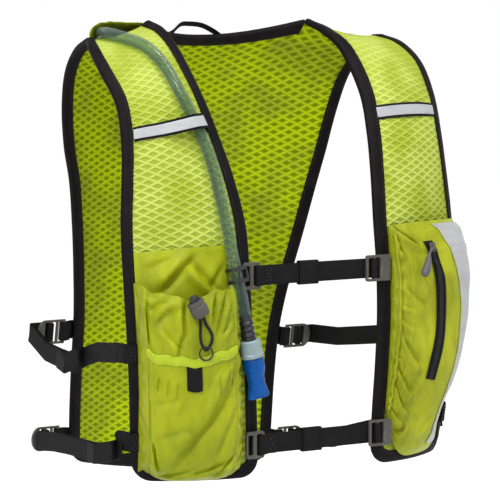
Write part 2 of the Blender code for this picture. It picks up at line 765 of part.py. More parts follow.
def bottle_pocket():
    """The open pocket for a bottle, with the liner behind its mouth, and its band and tab."""
    pocket = BottlePocket(RIGHT)
    shares = pocket.rows
    sheet(
        "right_bottle_pocket",
        "lime_cloth",
        len(POCKET_SECTION),
        len(shares),
        lambda column, row: pocket.surface(column, shares[row]),
        CLOTH,
    )

    panel = pocket.panel

    def liner_place(column, row):
        down = row / 4
        across = column / 8
        s = 0.880 - (0.880 - 0.212) * across
        top = 0.593 - 0.010 * across
        swell = 0.003 * math.sin(math.pi * across) * (1 - down)
        return panel.at_share(s, top + (0.700 - top) * down, ON_PANEL + TAPE / 2 + 0.0003 + swell)

    sheet("pocket_liner", "lime_cloth", 9, 5, liner_place, TAPE)

    lift = CLOTH / 2 + GAP + TAPE / 2
    band_columns = range(3, 11)
    band_t = (0.760, 0.768, 0.774, 0.777, 0.776, 0.771, 0.765, 0.760)

    def band_place(column, row):
        index = band_columns[column]
        t = band_t[column] + (0.008 if row else -0.008)
        return pocket.surface(index, pocket.share_at(index, t), lift)

    sheet("pocket_band", "lime_cloth", len(band_columns), 2, band_place, TAPE)

    def tab_place(column, row):
        corners = (pocket.surface(6, 0.0), pocket.surface(7, 0.0))
        t = 0.788 + 0.038 * row / 2
        left = pocket.surface(6, pocket.share_at(6, t), lift + 0.0001)
        right = pocket.surface(7, pocket.share_at(7, t), lift + 0.0001)
        across = 0.0150 / (corners[1] - corners[0]).length
        return left.lerp(right, 0.02 + across * column)

    sheet("pocket_tab", "black_webbing", 2, 3, tab_place, WEBBING)


def zip_pocket():
    """The closed pocket with a zip, its piping and its stripe."""
    pocket = ZipPocket(LEFT)
    shares = pocket.rows
    sheet(
        "left_zip_pocket",
        "lime_cloth",
        len(ZIP_SECTION),
        len(shares),
        lambda column, row: pocket.surface(column, shares[row]),
        CLOTH,
    )
    lift = CLOTH / 2 + GAP + TAPE / 2 + 0.0003

    def zip_place(column, row):
        near = pocket.surface(ZIP_COLUMN, ZIP_SHARES[row], lift)
        far = pocket.surface(ZIP_COLUMN + 1, ZIP_SHARES[row], lift)
        return near.lerp(far, 0.12 + 0.76 * column)

    sheet("zip", "black_webbing", 2, len(ZIP_SHARES), zip_place, TAPE)

    top_near, top_far = zip_place(0, 0), zip_place(1, 0)
    across = (top_far - top_near).normalized()
    down = (zip_place(0, 2) - top_near).normalized()
    out = across.cross(down).normalized()
    if out.y > 0:
        out = -out
    height = 0.0030
    middle = top_near.lerp(top_far, 0.5) + out * (TAPE / 2 + 0.0016 + height / 2) + down * 0.004
    slider = block("zip_slider", "grey_plastic", (0.0070, 0.0100, height), middle, across, down)
    bevel(slider, 0.0008)

    route = [
        middle + across * along + down * below + out * (height / 2 + clear)
        for along, below, clear in ZIP_PULL_ROUTE
    ]
    tube("zip_pull", "grey_plastic", smooth_route(route, 0.0045), 1.0, radii=ZIP_PULL_RADII)

    seam_lift = CLOTH / 2 + GAP + PIPING_RADIUS + 0.0002
    piping = [pocket.surface(PIPING_COLUMN, share, seam_lift) for share in shares[1:-1]]
    tube("pocket_piping", "lime_cloth", smooth_route(piping, 0.012), PIPING_RADIUS, 1)

    stripe_rows = [share for share in shares if STRIPE_TOP < share < STRIPE_BASE]

    def stripe_place(column, row):
        return pocket.surface(STRIPE_COLUMNS[column], stripe_rows[row], CLOTH / 2 + GAP + TAPE / 2)

    counts = len(STRIPE_COLUMNS), len(stripe_rows)
    sheet("pocket_reflective_stripe", "silver_tape", *counts, stripe_place, TAPE)


def bladder_sleeve():
    """The flat sleeve for the drink bladder on the outside of the back, open at the top."""
    panel = BackPanel()
    base = ON_PANEL + CLOTH / 2 + 0.0008
    columns = (-0.66, *BACK_COLUMNS[1:-1], 0.66)

    def place(column, row):
        s = columns[column]
        down = row / 8
        flat = 1 - abs(s / SLEEVE_HALF_SHARE) ** 3.5
        closing = 1 - max(0.0, (down - 0.55) / 0.45) ** 2.5
        opening = 0.88 + 0.12 * min(1.0, down / 0.35)
        rise = base + (SLEEVE_RISE - base) * flat * closing * opening
        return panel.at_share(s, SLEEVE_TOP + (SLEEVE_BASE - SLEEVE_TOP) * down, rise)

    sheet("bladder_sleeve", "lime_cloth", len(columns), 9, place, CLOTH)


def tube_cover():
    """The arched flap that leads the tube from the sleeve over the right shoulder."""
    panel = BackPanel()
    base = ON_BINDING + CLOTH / 2

    def place(column, row):
        across = column / 8
        down = row / 5
        first, second = (
            top + (low - top) * down for top, low in zip(COVER_TOP_SHARES, COVER_BASE_SHARES)
        )
        arch = max(0.0, math.sin(math.pi * across ** (COVER_PEAK + (1 - COVER_PEAK) * down))) ** 0.6
        rise = base + (COVER_RISE + 0.0025 * down) * arch
        t = 0.014 + (SLEEVE_TOP - 0.022) * down
        return panel.at_share(first + (second - first) * across, t, rise)

    sheet("tube_cover", "lime_cloth", 9, 6, place, CLOTH)


# Hard pieces

def block(name, material, size, place, across, up):
    """A box placed by its middle, its width direction and its height direction."""
    bpy.ops.mesh.primitive_cube_add(size=1)
    thing = take(bpy.context.object, name, material)
    thing.data.transform(Matrix.Diagonal((*size, 1)))
    across = across.normalized()
    up = (up - across * up.dot(across)).normalized()
    axes = Matrix((across, up, across.cross(up))).transposed().to_4x4()
    thing.matrix_world = Matrix.Translation(place) @ axes
    return thing


def tube(name, material, points, radius, resolution=2, radii=None):
    """A round bar along a path."""
    curve = bpy.data.curves.new(name, "CURVE")
    curve.dimensions = "3D"
    curve.bevel_depth = radius
    curve.bevel_resolution = resolution
    curve.use_fill_caps = True
    spline = curve.splines.new("POLY")
    spline.points.add(len(points) - 1)
    for index, point in enumerate(points):
        spline.points[index].co = (*point, 1)
        if radii is not None:
            share = index / (len(points) - 1)
            spline.points[index].radius = float(np.interp(share, np.linspace(0, 1, len(radii)), radii))
    return add_object(name, curve, material)


def turned(name, material, profile, place, axis, sides=16):
    """A turned solid: a profile of (radius, height) up its outside, round an axis."""
    mesh = bpy.data.meshes.new(name)
    shape = bmesh.new()
    verts = [shape.verts.new((radius, 0, height)) for radius, height in reversed(profile)]
    for first, second in zip(verts, verts[1:]):
        shape.edges.new((first, second))
    shape.to_mesh(mesh)
    shape.free()
    mesh.shade_smooth()
    rotation = UPRIGHT.rotation_difference(axis).to_matrix().to_4x4()
    thing = add_object(name, mesh, material, Matrix.Translation(place) @ rotation)
    screw = thing.modifiers.new("Screw", "SCREW")
    screw.axis = "Z"
    screw.steps = sides
    screw.render_steps = sides
    screw.use_merge_vertices = True
    screw.merge_threshold = 0.00002
    return thing


def rounded_rectangle(width, height, middle, radius, steps=2):
    """Corner points of a rectangle with rounded corners."""
    points = []
    for quarter in range(4):
        sign_x = 1 if quarter in (0, 3) else -1
        sign_y = 1 if quarter in (0, 1) else -1
        centre = (middle + sign_x * (width / 2 - radius), sign_y * (height / 2 - radius))
        for step in range(steps + 1):
            angle = math.radians(90 * (quarter + step / steps))
            points.append((centre[0] + radius * math.cos(angle), centre[1] + radius * math.sin(angle)))
    return points


def flat_frame(name, outline, windows, place, across, up=UPRIGHT):
    """A flat plastic frame cut out of a plate, its plane holding the across and up directions."""
    curve = bpy.data.curves.new(name, "CURVE")
    curve.dimensions = "2D"
    curve.fill_mode = "BOTH"
    curve.extrude = FRAME_THICKNESS / 2
    for points in (outline, *windows):
        spline = curve.splines.new("POLY")
        spline.use_cyclic_u = True
        spline.points.add(len(points) - 1)
        for index, (x, y) in enumerate(points):
            spline.points[index].co = (x, y, 0, 1)
    across = across.normalized()
    axes = Matrix((across, up, across.cross(up))).transposed().to_4x4()
    return add_object(name, curve, "grey_plastic", Matrix.Translation(place) @ axes)


def front_strap(name, height, plane, plate_end):
    """A strap across the front: its hook on the right, its ladder buckle on the left, its keeper."""
    window_height = WEBBING_WIDTH + 0.0015
    across = Vector((1, 0, 0))
    hook_outline = rounded_rectangle(0.0220, 0.0275, 0.0, 0.0035)
    hook_windows = [
        rounded_rectangle(0.0062, 0.0200, -0.0055, 0.0012),
        rounded_rectangle(0.0060, window_height, 0.0046, 0.0010),
    ]
    flat_frame(f"{name}_hook", hook_outline, hook_windows, Vector((HOOK_X, plane, height)), across)
    frame_start = -0.01025
    frame_end = plate_end - BUCKLE_X
    buckle_outline = rounded_rectangle(frame_end - frame_start, 0.0270, (frame_start + frame_end) / 2, 0.0025)
    buckle_windows = [
        rounded_rectangle(0.0060, window_height, -0.0045, 0.0008),
        rounded_rectangle(0.0060, window_height, 0.0045, 0.0008),
    ]
    flat_frame(f"{name}_buckle", buckle_outline, buckle_windows, Vector((BUCKLE_X, plane, height)), across)
    bar_x = HOOK_X + 0.0093
    route = (
        (bar_x + 0.0160, -0.0010),
        (bar_x + 0.0080, -0.0010),
        (bar_x + 0.0030, BESIDE_BAR),
        (HOOK_X + 0.0048, BESIDE_BAR),
        (HOOK_X + 0.0048, -BEHIND_FRAME),
        (BUCKLE_X - BESIDE_BAR, -BEHIND_FRAME),
        (BUCKLE_X - BESIDE_BAR, BESIDE_BAR),
        (BUCKLE_X + BESIDE_BAR, BESIDE_BAR),
        (BUCKLE_X + BESIDE_BAR, -SECOND_LAYER),
        (STRAP_TAIL_X, -SECOND_LAYER),
    )
    points = [(x, plane - out, height) for x, out in route]
    webbing(f"{name}_strap", rounded_path(points, 0.0013, 2))

    depth = SECOND_LAYER - BEHIND_FRAME + WEBBING + 2 * GAP
    middle = Vector((KEEPER_X, plane + (SECOND_LAYER + BEHIND_FRAME) / 2, height))
    keeper = block(
        f"{name}_keeper",
        "black_webbing",
        (0.0230, WEBBING_WIDTH + 0.0040, depth + 0.0028),
        middle,
        across,
        UPRIGHT,
    )
    hole = block(
        f"{name}_keeper_hole",
        None,
        (0.0300, WEBBING_WIDTH + 2 * GAP, depth),
        middle,
        across,
        UPRIGHT,
    )
    cutter(hole)
    cut(keeper, hole)


def side_strap(side, level, buckle_x, buckle_y, buckle_z, behind, loop_start, loop_end, heights):
    """A side strap: an anchor on the back's edge, a ladder lock, and webbing on to the front's edge."""
    name = f"{SIDE_NAMES[side]}_{level}"
    lift = ON_BINDING + WEBBING / 2 + 0.0006
    outward = Vector((side, 0, 0))
    back = BackPanel()
    t_back = ANCHOR_HEIGHTS[level]
    width = back.width(t_back)
    edges = [distance if side == RIGHT else width - distance for distance in (-0.0020, 0.0125)]
    on_back = [back.point(distance, t_back, lift + ANCHOR_LIFTS[level]) for distance in edges]
    back_up = (back.at_share(side, t_back - 0.02) - back.at_share(side, t_back + 0.02)).normalized()
    frame_up = (back_up - outward * back_up.dot(outward)).normalized()
    backward = frame_up.cross(outward) * side

    outline = [(-0.0160, -0.0130), (0.0075, -0.0130)]
    for step in range(1, 6):
        angle = math.radians(-90 + 30 * step)
        outline.append((0.0075 + 0.0095 * math.cos(angle), 0.0130 * math.sin(angle)))
    outline += [(0.0075, 0.0130), (-0.0160, 0.0130)]
    window_height = WEBBING_WIDTH + 0.0015
    windows = [
        rounded_rectangle(0.0055, window_height, -0.01075, 0.0008),
        rounded_rectangle(0.0055, window_height, -0.00275, 0.0008),
        rounded_rectangle(0.0052, window_height, 0.0056, 0.0008),
    ]
    middle = Vector((side * buckle_x, buckle_y, buckle_z))
    flat_frame(f"{name}_buckle", outline, windows, middle, outward, frame_up)

    def at(out, back_by):
        """A point by its distance out from the buckle's middle, and back from its plane."""
        return middle + outward * out + backward * back_by

    anchor = [
        at(-0.0224, -0.0008),
        at(-0.0200, -0.0008),
        at(-0.0178, -BESIDE_BAR),
        at(-0.0112, -BESIDE_BAR),
        at(-0.0112, BEHIND_FRAME),
        at(-0.0206, BEHIND_FRAME + 0.0002),
        *on_back,
    ]
    webbing(f"{name}_anchor", rounded_path(anchor, 0.0014, 2), frame_up)

    front = FrontPanel(side)
    t_front = FRONT_END_HEIGHTS[level]
    edge = front.at_share(1.0, t_front)
    on_front = [front.point(front.width(t_front) - distance, t_front, lift) for distance in (0.0004, 0.0095)]
    front_up = (front.at_share(1.0, t_front - 0.02) - front.at_share(1.0, t_front + 0.02)).normalized()
    beside = edge + outward * (STRAP_CLEAR[level] + 0.0004) + Vector((0, 0.012, 0))
    corner = edge + outward * STRAP_CLEAR[level] + Vector((0, -0.001, 0))
    first, second = BEHIND_FRAME * behind, SECOND_LAYER * behind
    turn_inner = at(0.0210 if behind > 0 else 0.0118, first)
    turn_outer = at(0.0232 if behind > 0 else 0.0140, second)

    def run(index, offset):
        """A point on the strap's run to the front, at an offset outwards."""
        share = (turn_inner.y - SIDE_RUN[index]) / (turn_inner.y - beside.y)
        x = abs(turn_inner.x) + (abs(beside.x) - abs(turn_inner.x)) * share
        return Vector((side * (x + offset), SIDE_RUN[index], heights[index]))

    last = len(SIDE_RUN)
    middle_of_loop = (loop_start + loop_end) // 2
    tail = [
        run(loop_start, 2 * SIDE_LAYER + 0.0006),
        run(middle_of_loop, SIDE_LAYER + SIDE_LOOP),
        run(loop_end, SIDE_LAYER + 0.6 * SIDE_LOOP),
        run(loop_end, SIDE_LAYER) + Vector((0, 0.003, 0)),
    ]
    tail += [run(index, SIDE_LAYER) for index in range(loop_end - 1, 0, -1)]
    bar = 0.0015
    turn = [
        turn_outer,
        at(bar - BESIDE_BAR, second),
        at(bar - BESIDE_BAR, -BESIDE_BAR * behind),
        at(bar + BESIDE_BAR, -BESIDE_BAR * behind),
        at(bar + BESIDE_BAR, first),
        turn_inner,
    ]
    main_run = [run(index, 0.0) for index in range(1, last)] + [beside, corner, *on_front]
    tail_path = rounded_path(tail + turn + main_run, 0.0013, 2)
    webbing(f"{name}_strap", tail_path, frame_up, front_up, turn_from=len(tail_path) - 12)


# The tube and its fittings

def drink_tube():
    """The tube and its connector, collar and mouthpiece."""
    back = BackPanel()
    route = [tuple(back.at_share(*place)) for place in TUBE_ON_BACK] + list(TUBE_ON_FRONT)
    tube("drink_tube", "clear_tube", smooth_route(route, TUBE_SPACING), TUBE_RADIUS, 3)
    place = Vector(TUBE_ON_FRONT[-1]) + FITTING_AXIS * FITTING_GAP
    rib, waist = 0.0072, 0.0058
    profile = [(0.0, 0.0), (0.0062, 0.0), (0.0062, 0.002), (waist, 0.003)]
    for index in range(3):
        start = 0.0050 + 0.0058 * index
        profile += [(waist, start), (rib, start + 0.0010), (rib, start + 0.0036), (waist, start + 0.0046)]
    profile += [(rib, 0.0222), (rib, CONNECTOR_LENGTH), (0.0, CONNECTOR_LENGTH)]
    turned("tube_connector", "grey_plastic", profile, place, FITTING_AXIS, 12)
    place = place + FITTING_AXIS * (CONNECTOR_LENGTH + FITTING_GAP)
    collar = [
        (0.0, 0.0),
        (0.0098, 0.0),
        (0.0108, 0.0010),
        (0.0112, COLLAR_LENGTH - 0.0040),
        (0.0120, COLLAR_LENGTH - 0.0030),
        (0.0120, COLLAR_LENGTH - 0.0008),
        (0.0110, COLLAR_LENGTH),
        (0.0, COLLAR_LENGTH),
    ]
    turned("valve_collar", "frosted_plastic", collar, place, FITTING_AXIS, 16)
    place = place + FITTING_AXIS * (COLLAR_LENGTH + FITTING_GAP)
    bite_valve(place)


def bite_valve(place):
    """The soft mouthpiece, round at its top and flattened at its mouth."""
    sections = (
        # distance along, half width, half depth
        (0.0, 0.0105, 0.0105),
        (0.0020, 0.0110, 0.0110),
        (0.0110, 0.0108, 0.0108),
        (0.0150, 0.0096, 0.0096),
        (0.0200, 0.0086, 0.0084),
        (0.0260, 0.0088, 0.0074),
        (0.0330, 0.0104, 0.0062),
        (0.0390, 0.0118, 0.0052),
        (VALVE_LENGTH, 0.0116, 0.0046),
    )
    sides = 16
    shape = bmesh.new()
    rings = []
    for along, half_width, half_depth in sections:
        ring = []
        for index in range(sides):
            angle = 2 * math.pi * index / sides
            ring.append(shape.verts.new((half_width * math.cos(angle), half_depth * math.sin(angle), along)))
        rings.append(ring)
    for lower, upper in zip(rings, rings[1:]):
        for index in range(sides):
            following = (index + 1) % sides
            shape.faces.new((lower[index], lower[following], upper[following], upper[index]))
    shape.faces.new(list(reversed(rings[0])))
    shape.faces.new(rings[-1])
    mesh = bpy.data.meshes.new("bite_valve")
    shape.to_mesh(mesh)
    shape.free()
    mesh.shade_smooth()
    mesh.set_sharp_from_angle(angle=math.radians(50))
    rotation = UPRIGHT.rotation_difference(FITTING_AXIS).to_matrix().to_4x4()
    add_object("bite_valve", mesh, "blue_rubber", Matrix.Translation(place) @ rotation)


def tube_clip():
    """The bracket that holds the tube beside the sternum hook."""
    middle = Vector((-0.1022, -0.1684, -0.2480))
    ahead = (Vector(TUBE_ON_FRONT[-3]) - Vector(TUBE_ON_FRONT[-4])).normalized()
    clip = block("tube_clip", "black_plastic", (0.0190, 0.0160, 0.0155), middle, Vector((1, 0, 0)), ahead)
    bevel(clip, 0.0025, 2)
    radius = TUBE_RADIUS + 0.0007
    profile = [(0.0, -0.02), (radius, -0.02), (radius, 0.02), (0.0, 0.02)]
    bore = turned("tube_clip_bore", None, profile, middle, ahead, 20)
    cutter(bore)
    cut(clip, bore)


# The cord lock

def lock_frame():
    """The lock's middle, and the directions across and out of the pocket there."""
    panel = FrontPanel(RIGHT)
    middle = panel.at_share(LOCK_SHARE, LOCK_T, LOCK_RISE)
    across = panel.at_share(LOCK_SHARE - 0.05, LOCK_T) - panel.at_share(LOCK_SHARE + 0.05, LOCK_T)
    across.normalize()
    out = panel.at_share(LOCK_SHARE, LOCK_T, 0.01) - panel.at_share(LOCK_SHARE, LOCK_T)
    out.z = 0
    out.normalize()
    return middle, across, out


def cord_lock():
    """The barrel, with a push button in its top and a passage for the cord along its back."""
    middle, across, out = lock_frame()
    axis = (-across * 0.48 + UPRIGHT * 0.88).normalized()
    half = LOCK_LENGTH / 2
    profile = [
        (0.0, -half),
        (LOCK_RADIUS * 0.89, -half),
        (LOCK_RADIUS * 0.97, -half + 0.0020),
        (LOCK_RADIUS, -half + 0.0060),
        (LOCK_RADIUS, half - 0.0040),
        (LOCK_RADIUS * 0.97, half - 0.0012),
        (LOCK_RADIUS * 0.89, half),
        (0.0, half),
    ]
    body = turned("cord_lock", "grey_plastic", profile, middle, axis, 16)
    socket_radius = BUTTON_RADIUS + BUTTON_CLEARANCE
    button_place = middle + out * 0.0022
    floor, mouth = half - BUTTON_SOCKET, half + 0.01
    profile = [(0.0, floor), (socket_radius, floor), (socket_radius, mouth), (0.0, mouth)]
    socket = turned("cord_lock_socket", None, profile, button_place, axis, 16)
    cutter(socket)
    cut(body, socket)
    sideways = axis.cross(out).normalized()
    size = (0.0076, 0.0500, 0.0030)
    passage = block("cord_lock_passage", None, size, middle - out * 0.0051, sideways, axis)
    cutter(passage)
    cut(body, passage)
    start, end = half - BUTTON_SOCKET + 0.0038, half + 0.0045
    button = [
        (0.0, start),
        (BUTTON_RADIUS, start),
        (BUTTON_RADIUS, end - 0.0015),
        (BUTTON_RADIUS * 0.75, end - 0.0004),
        (0.0, end),
    ]
    turned("lock_button", "black_plastic", button, button_place, axis, 16)

    def beside(place):
        across_by, down_by, out_by = place
        return middle + across * across_by - UPRIGHT * down_by + out * out_by

    route = [beside(place) for place in LOCK_CORD_ROUTE]
    tube("lock_cord", "black_webbing", smooth_route(route, 0.0055), CORD_RADIUS, 1)
    bpy.ops.mesh.primitive_torus_add(
        major_radius=RING_RADIUS, minor_radius=RING_WIRE, major_segments=16, minor_segments=6
    )
    ring = take(bpy.context.object, "cord_ring", "black_plastic")
    ring.data.shade_smooth()
    turn = UPRIGHT.rotation_difference(out).to_matrix().to_4x4()
    ring.matrix_world = Matrix.Translation(beside(RING_PLACE)) @ turn


def main():
    back_panel()
    hang_loop()
    for side in (RIGHT, LEFT):
        front_panel(side)
        reflective_strip(side)
    bladder_sleeve()
    tube_cover()
    bottle_pocket()
    zip_pocket()
    cord_lock()
    drink_tube()
    tube_clip()
    front_strap("sternum", STERNUM_HEIGHT, STERNUM_PLANE, STERNUM_PLATE_END)
    front_strap("waist", WAIST_HEIGHT, WAIST_PLANE, WAIST_PLATE_END)
    for row, heights in SIDE_STRAPS:
        side_strap(*row, heights)


for existing in list(bpy.data.objects):
    bpy.data.objects.remove(existing)
PARTS = new_collection(OBJECT_NAME)
CUTTERS = new_collection("cutters")
main()
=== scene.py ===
"""Dresses a running hydration vest on its fixed frame.

Padded mesh, cloth pockets, folded bindings, webbing, buckles, the drinking tube and its mouthpiece are each
a class with its sizes, and each finish is a small class of shader nodes. Units are metres, +Z is up, the
vest faces -Y and the wearer's right is at -X.
"""

from __future__ import annotations

import logging
import math
from dataclasses import dataclass, field
from enum import Enum
from typing import Callable, Iterable, Sequence

import bpy
import numpy as np
from mathutils import Matrix, Vector


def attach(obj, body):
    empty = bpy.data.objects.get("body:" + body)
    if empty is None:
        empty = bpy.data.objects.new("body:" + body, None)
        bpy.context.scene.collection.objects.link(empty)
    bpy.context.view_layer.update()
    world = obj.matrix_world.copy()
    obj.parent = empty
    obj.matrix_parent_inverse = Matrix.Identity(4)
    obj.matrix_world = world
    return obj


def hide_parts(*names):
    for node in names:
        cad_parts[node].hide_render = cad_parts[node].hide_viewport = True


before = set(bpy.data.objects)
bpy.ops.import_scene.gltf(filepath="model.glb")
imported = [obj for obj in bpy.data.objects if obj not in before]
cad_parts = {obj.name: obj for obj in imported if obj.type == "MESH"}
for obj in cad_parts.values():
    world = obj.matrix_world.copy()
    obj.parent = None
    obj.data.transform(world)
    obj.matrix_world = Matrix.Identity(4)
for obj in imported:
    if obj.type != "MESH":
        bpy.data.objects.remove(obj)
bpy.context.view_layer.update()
LOG = logging.getLogger("vest")
VEST, BUTTON = "vest", "button"
UP = Vector((0.0, 0.0, 1.0))

Colour = tuple[float, float, float]


class Side(Enum):
    """The wearer's sides, with their sign along X."""

    RIGHT = -1
    LEFT = 1

    @property
    def word(self) -> str:
        """The side's name, as the nodes spell it."""
        return self.name.lower()


# Shader building


class Channel:
    """A socket or number whose arithmetic adds Math nodes."""

    def __init__(self, shader: "Shader", socket: bpy.types.NodeSocket) -> None:
        """Keeps the socket and the shader that it belongs to."""
        self.shader = shader
        self.socket = socket

    def math(self, operation: str, *others: "Channel | float", clamp: bool = False) -> "Channel":
        """Adds one Math node.

        Args:
            operation: The node's operation.
            others: Its second and third values.
            clamp: Whether the result is held from 0 to 1.

        Returns:
            The node's value.
        """
        settings = {"operation": operation, "use_clamp": clamp}
        return self.shader.add("ShaderNodeMath", settings, {0: self, **dict(enumerate(others, 1))})

    def __add__(self, other: "Channel | float") -> "Channel":
        """The sum."""
        return self.math("ADD", other)

    __radd__ = __add__

    def __mul__(self, other: "Channel | float") -> "Channel":
        """The product."""
        return self.math("MULTIPLY", other)

    __rmul__ = __mul__

    def __sub__(self, other: "Channel | float") -> "Channel":
        """The difference."""
        return self.math("SUBTRACT", other)

    def __rsub__(self, other: float) -> "Channel":
        """The difference, taken from a number."""
        return (self * -1.0) + other

    def __truediv__(self, other: "Channel | float") -> "Channel":
        """The quotient."""
        return self.math("DIVIDE", other)

    def __pow__(self, other: "Channel | float") -> "Channel":
        """The power."""
        return self.math("POWER", other)

    def wave(self) -> "Channel":
        """A wave from 0 to 1, with its peaks at the whole numbers."""
        return (self * math.tau).math("COSINE") * 0.5 + 0.5

    def smooth(self, low: float, high: float) -> "Channel":
        """Rises softly from 0 at the low value to 1 at the high one."""
        settings = {"interpolation_type": "SMOOTHSTEP"}
        return self.shader.add("ShaderNodeMapRange", settings, {"Value": self, 1: low, 2: high})

    def scaled(self, low: float, high: float) -> "Channel":
        """A value from 0 to 1 moved into the range from low to high."""
        return self * (high - low) + low


class Shader:
    """A material under construction."""

    def __init__(self, name: str) -> None:
        """Starts a material with an empty Principled BSDF."""
        self.material = bpy.data.materials.new(name)
        self.material.use_nodes = True
        self.tree = self.material.node_tree
        self.principled = self.tree.nodes["Principled BSDF"]

    def add(self, kind: str, settings: dict | None = None, sockets: dict | None = None) -> Channel:
        """Adds one node.

        Args:
            kind: The node's type.
            settings: Attributes, which are set first.
            sockets: Values, colours or channels by socket name or number.

        Returns:
            The node's first output that is in use.
        """
        node = self.tree.nodes.new(kind)
        for key, value in (settings or {}).items():
            setattr(node, key, value)
        for key, value in (sockets or {}).items():
            self.feed(node.inputs[key], value)
        outputs = [output for output in node.outputs if output.enabled]
        return Channel(self, outputs[0])

    def feed(self, socket: bpy.types.NodeSocket, value: "Channel | float | Sequence[float]") -> None:
        """Links a channel to a socket, or sets the socket's own value."""
        if isinstance(value, Channel):
            self.tree.links.new(value.socket, socket)
        else:
            is_colour = socket.type == "RGBA" and len(value) == 3
            socket.default_value = (*value, 1.0) if is_colour else value

    def cloth(self, axis: int) -> Channel:
        """The distance in metres across (0) or along (1) the cloth."""
        place = self.add("ShaderNodeUVMap", {"uv_map": "cloth"})
        parts = self.add("ShaderNodeSeparateXYZ", sockets={0: place})
        return Channel(self, parts.socket.node.outputs[axis])

    def noise(self, size: float, detail: float = 2.0, stretch: Sequence[float] = (1, 1, 1)) -> Channel:
        """Soft noise in the object's own space.

        Args:
            size: The size of a patch, in metres.
            detail: How many finer layers it has.
            stretch: How often it repeats along each axis.

        Returns:
            Values around one half.
        """
        place = self.add("ShaderNodeTexCoord")
        place = Channel(self, place.socket.node.outputs["Object"])
        place = self.add("ShaderNodeMapping", sockets={"Vector": place, "Scale": stretch})
        return self.add("ShaderNodeTexNoise", sockets={"Vector": place, "Scale": 1 / size, "Detail": detail})

    def mix(self, factor: Channel, first: "Channel | Colour", second: "Channel | Colour") -> Channel:
        """A colour between two colours."""
        node = self.tree.nodes.new("ShaderNodeMix")
        node.data_type = "RGBA"
        self.feed(node.inputs[0], factor)
        self.feed(node.inputs[6], first)
        self.feed(node.inputs[7], second)
        return Channel(self, node.outputs[2])

    def bump(self, height: Channel, distance: float, strength: float = 1.0) -> None:
        """Feeds a height in metres times the distance to the surface's normal."""
        values = {"Height": height, "Distance": distance, "Strength": strength}
        self.paint(Normal=self.add("ShaderNodeBump", sockets=values))

    def see_through(self, glass: Colour, solid: Channel) -> None:
        """Lets light pass straight through, tinted by the glass colour, as far as the surface isn't solid."""
        clear = self.add("ShaderNodeBsdfTransparent", sockets={"Color": glass})
        solid_face = Channel(self, self.principled.outputs[0])
        mixed = self.add("ShaderNodeMixShader", sockets={0: solid, 1: clear, 2: solid_face})
        self.feed(self.tree.nodes["Material Output"].inputs["Surface"], mixed)

    def paint(self, **sockets: "Channel | float | Colour") -> None:
        """Sets or links the Principled BSDF's sockets, with spaces spelled as underscores."""
        for key, value in sockets.items():
            self.feed(self.principled.inputs[key.replace("_", " ")], value)


@dataclass(frozen=True)
class Finish:
    """A named finish, made into a material once."""

    name: str
    slot: str

    def paint(self, shader: Shader) -> None:
        """Builds the finish's nodes."""
        raise NotImplementedError

    def material(self) -> bpy.types.Material:
        """The finish's material."""
        made = bpy.data.materials.get(self.name)
        if made is None:
            shader = Shader(self.name)
            self.paint(shader)
            made = shader.material
        return made


@dataclass(frozen=True)
class SpacerMesh(Finish):
    """Padded mesh with staggered diamond dimples between raised diagonal ribs."""

    ridge: Colour = (0.405, 0.480, 0.095)
    dimple: Colour = (0.170, 0.225, 0.004)
    shade: Colour = (0.250, 0.315, 0.022)
    column_step: float = 0.0083
    row_step: float = 0.0082
    depth: float = 0.0011
    core: float = 0.30
    fade_end: float = 0.0

    def paint(self, shader: Shader) -> None:
        """Dimples from two slanting families of ribs, with a fine knit over them."""
        across, along = shader.cloth(0), shader.cloth(1)
        tilted, leaning = across / (2 * self.column_step), along / self.row_step
        first, second = (tilted + leaning).wave(), (tilted - leaning).wave()
        cells = first.math("MINIMUM", second)
        dimples = cells.smooth(0.02, 0.55)
        cores = (first * second).smooth(0.20, 0.90)
        mottling = shader.noise(0.045, 3.0)
        if self.fade_end:
            dimples = dimples * along.smooth(-0.4 * self.fade_end, self.fade_end).scaled(0.30, 1.0)
            cores = cores * along.smooth(0.0, 1.6 * self.fade_end)
        # Random soft patches from the ridge colour towards the shade colour, spread over the whole mesh.
        colour = shader.mix(mottling.smooth(0.36, 0.68) * 0.75, self.ridge, self.shade)
        knit = (across / 0.0011).wave() * (along / 0.0011).wave()
        colour = shader.mix(dimples * 0.45 + cores * self.core, colour, self.dimple)
        colour = shader.mix(knit * 0.16, colour, self.dimple)
        shader.paint(Base_Color=colour, Roughness=dimples.scaled(0.74, 0.92), Specular_IOR_Level=0.04)
        shader.bump(0.0 - dimples - knit * 0.08 + mottling * 0.15, self.depth)


@dataclass(frozen=True)
class Nylon(Finish):
    """Thin lime nylon with a fine ripstop weave and a slight sheen."""

    light: Colour = (0.300, 0.335, 0.004)
    dark: Colour = (0.135, 0.165, 0.000)
    crumple: float = 0.0006

    def paint(self, shader: Shader) -> None:
        """Fine weave, soft crumples and a slow change of colour."""
        across, along = shader.cloth(0), shader.cloth(1)
        weave = (across / 0.0009).wave() * 0.5 + (along / 0.0009).wave() * 0.5
        slow = shader.noise(0.070, 2.0)
        fine = shader.noise(0.011, 4.0, (1.0, 1.0, 0.45))
        depth = slow.smooth(0.3, 0.7) * 0.45 + fine.smooth(0.4, 0.7) * 0.25 + 0.12
        colour = shader.mix(depth, self.light, self.dark)
        colour = shader.mix(weave * 0.10, colour, self.dark)
        shader.paint(Base_Color=colour, Roughness=slow.scaled(0.32, 0.46), Specular_IOR_Level=0.17)
        shader.bump(fine * 1.0 + slow * 1.2 + weave * 0.10, self.crumple * 2)


